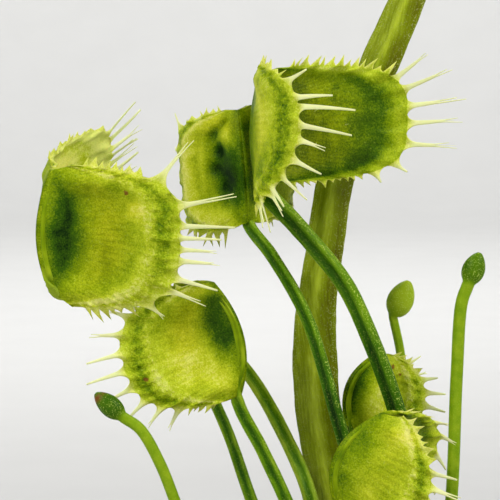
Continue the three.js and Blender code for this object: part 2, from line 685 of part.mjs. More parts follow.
// A low leaf of the rosette, worked out from its bearing: it arches out and its trap faces up.
function lowLeaf({ bearing, reach, rise, trapLength }) {
  const angle = radians(bearing);
  const out = new THREE.Vector3(Math.cos(angle), Math.sin(angle), 0);
  const at = (radius, height) => {
    const point = out.clone().multiplyScalar(radius);
    return [point.x, point.y, SOIL.level + height];
  };
  const lobe = {
    width: trapLength * 0.8, half: [trapLength * 0.56, trapLength * 0.56], corner: [2.7, 2.7],
    spread: [58, 30], hollow: -0.7, fold: 0.6, skew: 0, sawPitch: 2.6, cilia: [0.26, 0.74],
    lengths: [0.55, 0.8, 0.95, 1, 1, 0.9, 0.7].map((part) => part * trapLength * 0.36),
  };
  const foot = out.clone().multiplyScalar(9.6);
  return {
    petiole: [[foot.x, foot.y], at(11, 10), at(reach * 0.55, rise * 0.9), at(reach * 0.85, rise * 1.02)],
    face: [-out.x * 0.3, -out.y * 0.3, 1],
    width: [2.6, 2.6, 4.8, 4, 2.2],
    trap: {
      base: at(reach, rise),
      tip: at(reach + trapLength * 0.93, rise + trapLength * 0.36),
      opening: [-out.x * 0.35, -out.y * 0.35, 1],
      bow: 1,
      columns: FEWER_COLUMNS,
      minus: lobe,
      plus: lobe,
    },
  };
}

// A young leaf: the stalk swells into a closed head with a pointed tip.
function youngGeometry({ stalk, tip, width, head }) {
  const curve = stemCurve(stalk, []);
  const frames = stemFrames(curve, new THREE.Vector3(0.2, -1, 0.2), PETIOLE_STEP * 0.8);
  holes.push(stemHole(frames, width / 2, width / 2));
  const rings = frames.map((frame) => petioleRing(frame, width / 2, width / 2));
  const neck = frames[frames.length - 1].middle;
  const end = vector(tip);
  const axis = end.clone().sub(neck);
  const way = axis.clone().normalize();
  const across = new THREE.Vector3(0, 1, 0).cross(way).normalize();
  const front = way.clone().cross(across);
  for (const part of [0.16, 0.34, 0.55, 0.75, 0.9, 0.98]) {
    const swell = Math.sin(Math.PI * part ** 0.85) ** 0.6;
    const middle = neck.clone().addScaledVector(axis, part);
    const half = Math.max(0.12, swell) / 2;
    const ring = [];
    for (let side = 0; side < PETIOLE_SIDES; side += 1) {
      const angle = (side / PETIOLE_SIDES) * Math.PI * 2;
      ring.push(middle.clone()
        .addScaledVector(across, Math.cos(angle) * half * head[0])
        .addScaledVector(front, -Math.sin(angle) * half * head[1]));
    }
    rings.push(ring);
  }
  return loft(rings);
}

// The pot: a tapered wall with a standing rim, and a floor with a ring of drain holes.
function potGeometry() {
  const { topRadius, baseRadius, height, wall, floor, rimHeight, rimOut, edge, sides } = POT;
  const outerAt = (z) => lerp(baseRadius, topRadius - rimOut, z / height);
  const ledge = height - rimHeight;
  const profile = [
    [0, 0],
    [baseRadius - 1, 0],
    [baseRadius, 1],
    [outerAt(ledge), ledge],
    [topRadius - 0.5, ledge + edge],
    [topRadius, height - edge],
    [topRadius - edge, height],
    [topRadius - rimOut - wall + edge, height],
    [outerAt(ledge) - wall, ledge - 2],
    [outerAt(floor) - wall, floor],
    [0, floor],
  ].map(([radius, z]) => new THREE.Vector2(radius, z));
  const turned = new THREE.LatheGeometry(profile, sides);
  turned.rotateX(Math.PI / 2);
  let solid = toSolid(turned);
  for (let index = 0; index < POT.drains; index += 1) {
    const angle = (index / POT.drains) * Math.PI * 2;
    const drain = new THREE.CylinderGeometry(POT.drainRadius, POT.drainRadius, 4 * floor, POT.drainSides);
    drain.rotateX(Math.PI / 2);
    drain.translate(Math.cos(angle) * POT.drainCircle, Math.sin(angle) * POT.drainCircle, 0);
    solid = solid.subtract(toSolid(drain));
  }
  return toGeometry(solid);
}

// The soil fills the pot to just under its rim, with a low gritty mound on top, and has a plain
// hole for the rhizome and for each stem.
function soilGeometry() {
  const { topRadius, baseRadius, height, wall, floor, rimOut, rimHeight } = POT;
  const ledge = height - rimHeight;
  const innerAt = (z) => lerp(baseRadius, topRadius - rimOut, z / height) - wall - GAP;
  const edge = topRadius - rimOut - wall + POT.edge - SOIL.inset;
  const profile = [
    new THREE.Vector2(0, floor + GAP),
    new THREE.Vector2(innerAt(floor + GAP), floor + GAP),
    new THREE.Vector2(innerAt(ledge - 2) - 0.1, ledge - 2),
    new THREE.Vector2(edge, SOIL.level),
  ];
  for (let ring = SOIL.rings - 1; ring >= 0; ring -= 1) {
    const radius = (edge * ring) / SOIL.rings;
    profile.push(new THREE.Vector2(radius, SOIL.level + mound(radius)));
  }
  const turned = new THREE.LatheGeometry(profile, SOIL.sides);
  turned.rotateX(Math.PI / 2);
  const place = turned.attributes.position;
  for (let index = 0; index < place.count; index += 1) {
    const x = place.getX(index);
    const y = place.getY(index);
    const z = place.getZ(index);
    const radius = Math.hypot(x, y);
    if (z > SOIL.level + 0.1 && radius > SOIL.gritFrom) {
      const grit = Math.sin(x * 1.7 + 2.3) * Math.cos(y * 1.3 - 0.8) + Math.sin(x * 0.6 - y * 0.9);
      place.setZ(index, z + SOIL.grit * grit);
    }
  }
  let solid = toSolid(turned);
  for (const hole of holes) {
    solid = solid.subtract(hole);
  }
  return toGeometry(solid.subtract(toSolid(rhizomeShape(GAP))));
}

// The rhizome: a short upright stock with a domed top, just proud of the soil.
function rhizomeShape(clearance) {
  const { radius, top, depth } = RHIZOME;
  const peak = SOIL.level + SOIL.mound;
  const wide = radius + clearance;
  const profile = [
    [0, -depth - clearance],
    [wide * 0.55, -depth - clearance],
    [wide * 0.9, -depth * 0.7],
    [wide, -depth * 0.3],
    [wide * 0.94, 0.4],
    [wide * 0.6, top * 0.8 + clearance],
    [0, top + clearance],
  ].map(([across, z]) => new THREE.Vector2(across, peak + z));
  const turned = new THREE.LatheGeometry(profile, RHIZOME.sides);
  turned.rotateX(Math.PI / 2);
  return turned;
}

for (const [name, leaf] of Object.entries(MATURE_LEAVES)) {
  addPiece(`leaf_${name}`, leafGeometry(leaf), name === 'tall_back' ? COLOURS.tall : COLOURS.leaf);
}
for (const [name, numbers] of Object.entries(LOW_LEAVES)) {
  addPiece(`leaf_${name}`, leafGeometry(lowLeaf(numbers)), COLOURS.leaf);
}
for (const [name, leaf] of Object.entries(YOUNG_LEAVES)) {
  addPiece(`leaf_${name}`, youngGeometry(leaf), COLOURS.young);
}
addPiece('rhizome', rhizomeShape(0), COLOURS.rhizome, 0.7);
addPiece('soil', soilGeometry(), COLOURS.soil, 0.95);
addPiece('pot', potGeometry(), COLOURS.pot, 0.7);

export default plant;
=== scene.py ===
"""A potted Venus flytrap: the leaves with their petioles, traps, cilia and trigger hairs, the young
leaves, the rhizome, the soil and the pot, on a pale floor in soft light.

Shapes are worked out in millimetres, +Z up, and become metres when a mesh is made. A trap opens
from its midrib into a minus and a plus lobe. A lobe's places are s, the fraction of its margin
counted from the petiole end, and v, from 0 at the midrib to 1 at the margin.
"""

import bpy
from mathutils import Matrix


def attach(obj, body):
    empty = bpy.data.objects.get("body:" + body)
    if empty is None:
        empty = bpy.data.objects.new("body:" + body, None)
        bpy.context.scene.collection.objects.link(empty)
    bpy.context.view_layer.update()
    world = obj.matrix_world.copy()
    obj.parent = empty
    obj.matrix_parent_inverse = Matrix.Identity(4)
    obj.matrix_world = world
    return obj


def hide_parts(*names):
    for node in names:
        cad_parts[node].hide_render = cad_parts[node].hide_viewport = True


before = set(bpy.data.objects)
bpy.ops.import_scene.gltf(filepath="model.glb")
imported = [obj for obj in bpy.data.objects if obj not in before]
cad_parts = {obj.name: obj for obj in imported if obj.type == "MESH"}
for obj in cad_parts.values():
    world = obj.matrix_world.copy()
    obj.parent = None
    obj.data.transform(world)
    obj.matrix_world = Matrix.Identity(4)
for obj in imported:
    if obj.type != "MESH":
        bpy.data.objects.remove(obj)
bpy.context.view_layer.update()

import math
import zlib

import bmesh
import bpy
import numpy as np
from mathutils import Vector

MM = 0.001
BODY = "root"

# ---- driving dimensions, millimetres

POT_TOP, POT_BASE, POT_HEIGHT = 45, 31, 80  # radius of the rim and of the base, and height
WALL, POT_FLOOR = 1.8, 2.4
RIM_HEIGHT, RIM_OUT, MOUTH_OUT = 12, 2.2, 0.8  # how far the rim and the mouth widen the pot
LEDGE = POT_HEIGHT - RIM_HEIGHT  # height of the rim's lower edge
DRAINS, DRAIN_CIRCLE, DRAIN_RADIUS = 6, 17, 3.5
SOIL_LEVEL, SOIL_MOUND = 72, 2.2
LUMPS, FINE_LUMPS = 0.175, 0.16
CRUMBS, PERLITE, MOSS = 900, 0.1, 0.12  # their number, and the shares of perlite and of moss
RHIZOME_RADIUS, RHIZOME_TOP, RHIZOME_DEPTH = 3.6, 2.4, 9
GAP = 0.3  # between the soil and the pot
ROOT_DEPTH = 8  # of a leaf's foot in the soil
PETIOLE_STEP, YOUNG_STEP = 0.9, 0.8  # from ring to ring
AXIS = 0.01  # radius of a turned profile's ends
POT_SIDES, SOIL_SIDES, RHIZOME_SIDES, FLOOR_SIDES, PETIOLE_SIDES = 144, 160, 48, 96, 32

MIDRIB_HALF = (0.8, 0.4)  # half thickness of the midrib at the trap's base and tip
MIDRIB_BACK = 0.1  # how far it stands out behind the lobes
FOLD_AT = 0.8  # v of the ring where the margin zone folds up
OUTLINE_START = 2  # how far off the midrib's line the margin starts and ends
HINGE = 2.0  # thickness at the midrib's line, along the way that the trap opens
HINGE_REACH = 2.5  # how far from that line the lobe gets down to its own thickness
LOBE_ROWS = (0, 0.05, 0.11, 0.17, 0.22, 0.27, 0.32, 0.37, 0.43, 0.5, 0.57, 0.64, 0.7, 0.75, 0.8,
             0.84, 0.88, 0.92, 0.96, 1)
THICKNESS = ((0, 0.9), (0.5, 0.78), (0.85, 0.6), (1, 0.4))  # of a lobe, by v
SAW_PITCH = 1.15
SAW_HEIGHT = 1.05
SAW_ENDS = 0.035  # fraction of the margin that is plain at each end
CILIUM_COLUMNS = np.array([-1, -0.8, -0.58, -0.36, -0.16, 0, 0.16, 0.36, 0.58, 0.8, 1])
CILIUM_HALF = (0.5, 0.13)  # half width at the root, above the web, and at the tip
CILIUM_HALF_THICK = 0.16
TRIGGER_HAIRS = ((-0.32, 0.42), (0.3, 0.4), (0.02, 0.6))  # fractions of half length and width


def shape(width, half, corner, spread, **more):
    """The numbers of a lobe. One number for half or corner holds at both of its ends."""
    half, corner = (both if isinstance(both, tuple) else (both, both) for both in (half, corner))
    usual = dict(skew=0, lean=0, saw=(1, 1), glow=0, crinkle=1, marks=(), inner_marks=(),
                 blemishes=())
    return dict(usual, width=width, half=half, corner=corner, spread=spread, **more)


def twins(*numbers, **more):
    """Two lobes alike."""
    return dict.fromkeys(("minus", "plus"), shape(*numbers, **more))


# A trap: base and tip of its midrib, the way it opens, and how far the midrib bows back. A lobe:
# width from midrib to margin, half of its length, corner (2 is an ellipse, more is squarer),
# spread in degrees off the opening at midrib and margin, hollow (its middle pushed in), fold (the
# ring at FOLD_AT pushed out), skew (the margin slid to the tip), and the cilia by length, at the
# given fractions of the margin or evenly between two. Half and corner are for the base end and the
# tip end, and so is saw, the height of the saw teeth. Lean tilts the teeth to the tip,
# glow is painted light that makes the inner face paler, and darker where it is
# below 0, and crinkle scales the relief of the margin zone. A mark changes a spot of the outer
# face: (s, v, reach in s, reach in v, shade, olive, depth to the inside). Its shade is partly the
# leaf's own colour and partly painted shade and light: mostly darker in a dent that it pushes in
# and paler on a spot that it raises. An inner mark has no depth and tones the inner face. A
# blemish is a rusty dot on the outer face: (s, v, radius). Tone is painted light that makes a
# petiole paler.

MATURE_LEAVES = {
    "left_front": dict(
        petiole=[(-5.6, 0.8), (-5, 1.6, 91), (-5, 3, 103), (-6.4, 5, 115.2), (-10.4, 9.4, 124.6),
                 (-16.5, 15, 134.2), (-24, 17.4, 141.4), (-33, 11.6, 146.6), (-41.2, -0.6, 147.8)],
        face=(-0.3, -0.5, 1), width=(2.6, 1.9), tone=0.52,
        base=(-44.5, -6, 148.6), tip=(-44, -9, 166.8), opening=(0.85, 0.5, 0.05), bow=2.4,
        minus=shape(
            18.7, (11.5, 10.2), (2.6, 5), (22, 54), hollow=1.2, fold=1, skew=-1.7, lean=0.17,
            saw=(1.7, 1.1), cilia=(0.25, 0.345, 0.39, 0.452, 0.487, 0.526, 0.562, 0.625, 0.724),
            lengths=(3.6, 6.2, 6.6, 6.2, 5.8, 6.4, 8.6, 9.2, 8.4), blemishes=((0.7, 0.66, 0.42),),
            marks=(
                (0.48, 0.13, 0.3, 0.1, -0.46, -0.2, 0.4), (0.5, 0.45, 0.3, 0.14, 0.05, 0.6, -0.3),
                (0.62, 0.68, 0.035, 0.06, 0.4, 0.7, -0.15), (0.5, 0.02, 0.5, 0.05, 0.25, 0, 0),
                (0.22, 0.86, 0.16, 0.14, 0.3, 0.1, 0), (0.82, 0.9, 0.1, 0.14, 0.1, 0.2, 0),
                (0.5, 0.085, 0.5, 0.035, 0.3, 0.1, -0.4))),
        plus=shape(
            19, (10.2, 8.8), (3.2, 9), (78, -8), hollow=0.2, fold=0.8, skew=4.1, lean=0.5,
            glow=0.5, saw=(1, 0.9),
            cilia=(0.3, 0.36, 0.42, 0.475, 0.515, 0.54, 0.565, 0.592, 0.62, 0.646),
            lengths=(4.5, 5, 5, 5, 5, 5, 5.2, 5.8, 6.6, 6.2)),
    ),
    "left_low": dict(
        petiole=[(-4.3, -3.8), (-4, -3.2, 93), (-6.2, -1, 105.1), (-10.2, 0, 115.9),
                 (-13.8, 0, 123.7)],
        face=(-0.3, -1, 0.3), width=(2.6, 2), tone=0.36,
        base=(-17.9, -1, 132.3), tip=(-22, -2, 149.4), opening=(-0.94, 0.34, -0.12), bow=2.6,
        plus=shape(
            15.3, 9.3, (2.5, 3.2), (14, 40), hollow=0.9, fold=0.9, skew=-0.5, saw=(1.6, 1),
            cilia=(0.18, 0.7), lengths=(4.2, 4, 4.6, 4.8, 6.3, 5.8, 5.2, 3.6),
            blemishes=((0.42, 0.86, 0.38),),
            marks=(
                (0.6, 0.15, 0.24, 0.09, -0.24, -0.1, 0.4), (0.66, 0.42, 0.2, 0.16, 0.05, 0.6, -0.2),
                (0.4, 0.5, 0.17, 0.22, 0.34, 0.1, -0.3), (0.25, 0.22, 0.16, 0.15, 0.38, 0.3, -0.3),
                (0.93, 0.5, 0.05, 0.4, 0.2, 0.1, 0))),
        minus=shape(15, 9.4, 2.5, (18, 36), hollow=-0.3, fold=0.6, cilia=(0.26, 0.72),
                    lengths=(4, 5, 5.5, 5.5, 5, 4)),
    ),
    "middle_back": dict(
        petiole=[(4, -4.1), (4.4, -3.4, 86), (3.6, -2, 99.6), (1.2, -1.2, 114.9),
                 (-2.5, -1, 128.5), (-7.3, 1, 144.1), (-12.4, 3, 153)],
        face=(-0.6, -0.8, 0.2), width=(2.7, 2),
        base=(-16.1, 5.4, 158), tip=(-17.6, 6, 175), opening=(-0.12, 0.98, 0.1), bow=1.2,
        plus=shape(
            14.6, 9, (3, 5), (62, 10), hollow=0.4, fold=0.7, skew=-2.2, saw=(2.2, 1.2),
            cilia=(0.34, 0.72), lengths=(3.5, 4.5, 5, 5, 4),
            marks=(
                (0.5, 0.68, 0.4, 0.13, 0.26, 0.35, -0.6),
                (0.46, 0.27, 0.26, 0.08, -0.3, -0.2, 0.5),
                (0.86, 0.32, 0.05, 0.06, -0.3, -0.1, 0.5),
                (0.74, 0.4, 0.06, 0.06, -0.45, -0.2, 0.7),
                (0.63, 0.29, 0.05, 0.06, -0.45, -0.2, 0.7),
                (0.52, 0.36, 0.05, 0.06, -0.4, -0.1, 0.6),
                (0.4, 0.2, 0.07, 0.07, -0.3, -0.1, 0.5), (0.75, 0.2, 0.09, 0.09, 0.42, 0.3, -0.6),
                (0.44, 0.12, 0.2, 0.12, -0.26, -0.2, -0.3), (0.6, 0.48, 0.2, 0.04, 0.2, 0.1, -0.4),
                (0.86, 0.4, 0.08, 0.4, 0.14, 0.5, 0), (0.16, 0.5, 0.12, 0.2, 0.22, 0.1, 0))),
        minus=shape(14, 9, 3, (66, 12), hollow=0.2, fold=0.5, skew=0.6, cilia=(0.3, 0.7),
                    lengths=(4, 5, 5, 5, 4.5, 4)),
    ),
    "right_high": dict(
        petiole=[(5.8, -0.3), (8.4, 0, 86), (10.8, 0.8, 97.8), (10.4, 1.4, 110.1), (8.5, 2, 122),
                 (6.2, 1.2, 130.4), (3, 0.4, 139.2), (-1.5, -0.4, 149), (-6.2, -0.6, 155),
                 (-9.2, -0.4, 158.4)],
        face=(-0.7, -0.7, 0.2), width=(3.2, 2.9),
        base=(-13.9, 1.1, 163.8), tip=(-13.4, 2, 180.6), opening=(0.893, -0.428, 0.138), bow=1.4,
        plus=shape(
            22.4, (8.2, 9.2), (4, 3.6), (56, 16), hollow=-1.4, fold=0.8, skew=1.9, saw=(1, 1.9),
            glow=-0.09, crinkle=0.35, inner_marks=((0.82, 0.84, 0.12, 0.18, 0.34, -0.3, 0),),
            cilia=(0.305, 0.365, 0.43, 0.49, 0.541, 0.593, 0.635),
            lengths=(2, 2.6, 8.2, 8.4, 9.2, 8.2, 6.4)),
        minus=shape(
            16, (11.9, 9.7), (2, 2.7), (82, 6), hollow=0.2, fold=0.7, skew=0.2, lean=-0.15,
            saw=(1.3, 1.1),
            cilia=(0.1, 0.15, 0.205, 0.25, 0.31, 0.39, 0.465, 0.518, 0.586, 0.62, 0.694),
            lengths=(4, 5.5, 4.6, 4, 5.6, 5.2, 4.6, 8.2, 8.6, 5.8, 4),
            marks=(
                (0.58, 0.56, 0.24, 0.14, 0.28, 0.25, -0.3), (0.5, 0.22, 0.5, 0.14, -0.04, 0, 0),
                (0.5, 0.8, 0.34, 0.06, 0, -0.2, 0), (0.62, 0.8, 0.05, 0.07, -0.2, -0.1, 0.35),
                (0.5, 0.79, 0.05, 0.08, -0.24, -0.2, 0.45),
                (0.39, 0.77, 0.05, 0.09, -0.26, -0.2, 0.45),
                (0.28, 0.72, 0.05, 0.12, -0.22, -0.2, 0.4), (0.14, 0.5, 0.08, 0.3, -0.1, 0, 0.2))),
    ),
    "right_middle": dict(
        petiole=[(4.1, 4.1), (4.8, 5, 92), (2.4, 5.4, 106.1), (0, 5, 118.6)],
        face=(-0.6, -0.6, 0.4), width=(2.4, 1.7),
        base=(-0.5, 4.6, 126.9), tip=(4.1, 5.6, 137.6), opening=(0.8, 0.52, -0.3), bow=2.8,
        minus=shape(
            9.4, 6.8, 2.4, (20, 42), hollow=0.2, fold=0.6,
            cilia=(0.3, 0.74), lengths=(2.4, 2.8, 3.3, 3.4, 3.2, 2.6),
            blemishes=((0.84, 0.5, 0.4), (0.76, 0.62, 0.26)),
            marks=(
                (0.5, 0.4, 0.24, 0.2, 0.3, 0, -0.2), (0.5, 0.5, 2, 2, 0.08, 0, 0),
                (0.5, 0.1, 0.4, 0.08, -0.25, 0, 0.3), (0.8, 0.6, 0.08, 0.3, 0.15, 0.2, 0))),
        plus=shape(11.5, 6.4, 2.4, (16, 26), hollow=-0.3, fold=0.5, skew=1.5, cilia=(0.3, 0.74),
                   lengths=(2.4, 3.2, 3.6, 3.6, 3)),
    ),
    "right_front": dict(
        petiole=[(-0.7, -5.8), (-1.8, -8, 94.8), (-2.8, -11, 108.9)],
        face=(-0.6, -0.6, 0.4), width=(2.5, 1.9),
        base=(-2.9, -14, 118), tip=(3.8, -14.8, 131.4), opening=(0.76, 0.54, -0.36), bow=4,
        minus=shape(
            11.4, 9, (2.6, 2.1), (24, 44), hollow=-0.4, fold=0.9, skew=-2, saw=(1, 1.2),
            cilia=(0.26, 0.68), lengths=(4, 5, 5.8, 6.4, 6.4, 5.6, 4),
            marks=(
                (0.5, 0.45, 0.4, 0.22, 0.14, 0, -0.3), (0.5, 0.5, 2, 2, 0.03, 0, 0),
                (0.55, 0.16, 0.5, 0.12, 0.04, 0, 0.1), (0.84, 0.7, 0.07, 0.3, 0.25, 0.5, 0))),
        plus=shape(17, 8.4, 2.6, (14, 22), hollow=0.6, fold=0.7, skew=2.4, lean=-0.6,
                   cilia=(0.28, 0.7), lengths=(4, 5.4, 5.8, 5.4, 4.4, 3)),
    ),
    "left_hidden": dict(
        petiole=[(-4.5, 4.3), (-6.6, 6, 91.2), (-11.3, 8, 103.4), (-15.8, 10, 115.2),
                 (-19, 13.4, 124)],
        face=(-0.3, -0.5, 0.6), width=(2.5, 1.8), tone=0.38,
        base=(-21.8, 16, 130), tip=(-26.3, 17.5, 138.6), opening=(-0.3, 0.95, 0.1), bow=0.8,
        **twins(8.5, 5.4, 2.4, (34, 6), hollow=-0.3, fold=0.3, cilia=(0.28, 0.74),
                lengths=(1.8, 2.4, 2.6, 2.6, 2)),
    ),
    "tall_back": dict(
        petiole=[(0, 6.6), (-0.2, 7, 84), (-1.1, 8, 99.2), (-2.8, 9, 114.7), (-5.2, 10, 128),
                 (-5.7, 10, 142), (-4.3, 10, 153.3), (-2.3, 10, 165.6), (2.6, 10, 178.5),
                 (8.2, 10.4, 191.4)],
        face=(0.25, 1, 0.1), width=(4.2, 4.4, 6, 7.2, 7.2, 5.9, 5.7, 5.9, 5),
        base=(11.2, 11, 198.4), tip=(18, 13, 214), opening=(0.3, 0.86, -0.2), bow=1.6,
        **twins(14.5, 9.4, 2.7, (50, 30), hollow=-0.8, fold=0.7, cilia=(0.28, 0.74),
                lengths=(4, 5.4, 6.2, 6.4, 6.4, 5.6, 4.2)),
    ),
}

# Low leaves of the rosette: bearing from +X in degrees, how far out the trap is, how high, and the
# trap's length.
LOW_LEAVES = {
    "low_back_right": (60, 40, 16, 15),
    "low_back": (112, 42, 12, 17),
    "low_back_left": (160, 38, 16, 14),
    "low_front_right": (318, 38, 17, 16),
    "low_front_left": (236, 36, 17, 15),
}

# Young leaves: the stalk's line, the head's tip, the stalk's width, the head's width across and
# from front to back, whether its tip is rusty, and the shade that is added to the head.
YOUNG_LEAVES = {
    "young_left": (
        [(-7.6, -3.6), (-9.4, -4, 82), (-16.5, -4, 92.6), (-23.2, -5, 106.5), (-27, -5.4, 117.2),
         (-29.2, -5.8, 122.9), (-32.1, -6, 128), (-34.5, -6, 129.7)],
        (-38.8, -6, 133.4), 1.7, (3.2, 2.6), 1, -0.44),
    "young_right_far": (
        [(7.6, 5.6), (9.4, 8, 86), (10.4, 10, 98), (9.3, 14, 111.5), (9, 17.6, 125.3),
         (7.9, 18.4, 136.3), (6.7, 18.4, 142)],
        (9.2, 18.4, 147.8), 1.4, (4.2, 3.2), 0, 0.34),
    "young_right_near": (
        [(9, 1.6), (11.4, 2.4, 86), (13, 3, 97.2), (14.9, 3, 115.5), (15.6, 3, 134.8),
         (16.3, 3, 146), (17.2, 3, 148.6)],
        (19, 3, 153.6), 1.9, (3.5, 2.6), 0, -0.3),
}


# ---- small helpers

def unit(vector):
    """The vectors along the last axis, each with length 1."""
    vector = np.asarray(vector, float)
    return vector / np.linalg.norm(vector, axis=-1, keepdims=True)


def bump(value, middle, reach):
    """A smooth hill of height 1."""
    return np.exp(-(((value - middle) / reach) ** 2))


def smooth(value):
    """Eases from 0 to 1 as the value goes from 0 to 1."""
    value = np.clip(value, 0, 1)
    return value * value * (3 - 2 * value)


def summed(steps):
    """The running sum of steps, from 0."""
    return np.concatenate([[0], np.cumsum(steps)])


def spread_along(values, t):
    """The value at t, from 0 to 1, of a list of values spread evenly and joined smoothly."""
    place = np.clip(t, 0, 1) * (len(values) - 1)
    index = np.minimum(place.astype(int), len(values) - 2)
    values = np.asarray(values, float)
    return values[index] + (values[index + 1] - values[index]) * smooth(place - index)


def by_end(pair, x):
    """The first of a pair at the base end of a lobe, where x is negative, the second at the tip."""
    return np.where(x < 0, *pair)


def turns(sides):
    """Evenly spaced angles round a circle."""
    return np.linspace(0, 2 * math.pi, sides, endpoint=False)


def generator(name):
    """A source of random numbers that is the same for the same name in each run."""
    return np.random.default_rng(zlib.crc32(name.encode()))


def mound(radius):
    return SOIL_MOUND * (1 - (radius / POT_TOP) ** 2)


class Shell:
    """Gathers the points, faces and painted values of one mesh."""

    def __init__(self, *channels):
        self.points = []
        self.faces = []
        self.painted = {channel: [] for channel in channels}
        self.count = 0

    def add(self, points, **painted):
        """Adds points of any array shape and gives back their indices in the same shape."""
        points = np.asarray(points, float)
        shape = points.shape[:-1]
        number = int(np.prod(shape))
        self.points.append(points.reshape(number, 3))
        for channel, values in self.painted.items():
            value = np.broadcast_to(painted.get(channel, 0.0), shape)
            values.append(value.reshape(number))
        indices = np.arange(self.count, self.count + number).reshape(shape)
        self.count += number
        return indices

    def quads(self, grid, turned=False):
        """Fills a grid of indices with quads. A quad whose corners coincide becomes a triangle."""
        corners = grid[:-1, :-1], grid[:-1, 1:], grid[1:, 1:], grid[1:, :-1]
        corners = corners[::-1] if turned else corners
        for quad in np.stack([corner.ravel() for corner in corners], axis=1).tolist():
            face = [p for i, p in enumerate(quad) if p != quad[i - 1]]
            if len(face) > 2:
                self.faces.append(face)

    def sheet(self, front, back, foot=False, sides=True, tip=True):
        """Skins a front and a back grid of indices, and joins them at the borders asked for."""
        self.quads(front)
        self.quads(back, turned=True)
        if foot:
            self.quads(np.stack([back[0], front[0]]))
        if sides:
            self.quads(np.stack([back[:, 0], front[:, 0]], axis=1))
            self.quads(np.stack([front[:, -1], back[:, -1]], axis=1))
        if tip:
            self.quads(np.stack([front[-1], back[-1]]))

    def tube(self, rings, **painted):
        """Skins rings of points, shape (rings, sides, 3), and closes both ends."""
        grid = self.add(rings, **painted)
        self.quads(np.concatenate([grid, grid[:, :1]], axis=1))
        for row in (0, -1):
            ends = {key: np.broadcast_to(value, grid.shape)[row].mean()
                    for key, value in painted.items()}
            centre = int(self.add(rings[row].mean(axis=0), **ends))
            ring = grid[row].tolist()
            for here, after in zip(ring, ring[1:] + ring[:1]):
                self.faces.append([centre, after, here] if row else [centre, here, after])

    def mesh(self, name):
        """A smooth mesh in metres that faces out, with the painted values as attributes."""
        mesh = bpy.data.meshes.new(name)
        mesh.from_pydata((np.concatenate(self.points) * MM).tolist(), [], self.faces)
        for channel, values in self.painted.items():
            layer = mesh.attributes.new(channel, "FLOAT", "POINT")
            layer.data.foreach_set("value", np.concatenate(values).astype(np.float32))
        work = bmesh.new()
        work.from_mesh(mesh)
        bmesh.ops.recalc_face_normals(work, faces=work.faces)
        work.to_mesh(mesh)
        work.free()
        mesh.polygons.foreach_set("use_smooth", [True] * len(mesh.polygons))
        mesh.update()
        return mesh


def show(name, data):
    """A new object in the scene."""
    made = bpy.data.objects.new(name, data)
    bpy.context.scene.collection.objects.link(made)
    return made


def make_piece(name, shell, material, node):
    """Turns a shell into a shown piece that stands for its CAD node."""
    piece = show(name, shell.mesh(name))
    piece.data.materials.append(material)
    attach(piece, BODY)
    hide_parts(node)
    return piece


# ---- node materials

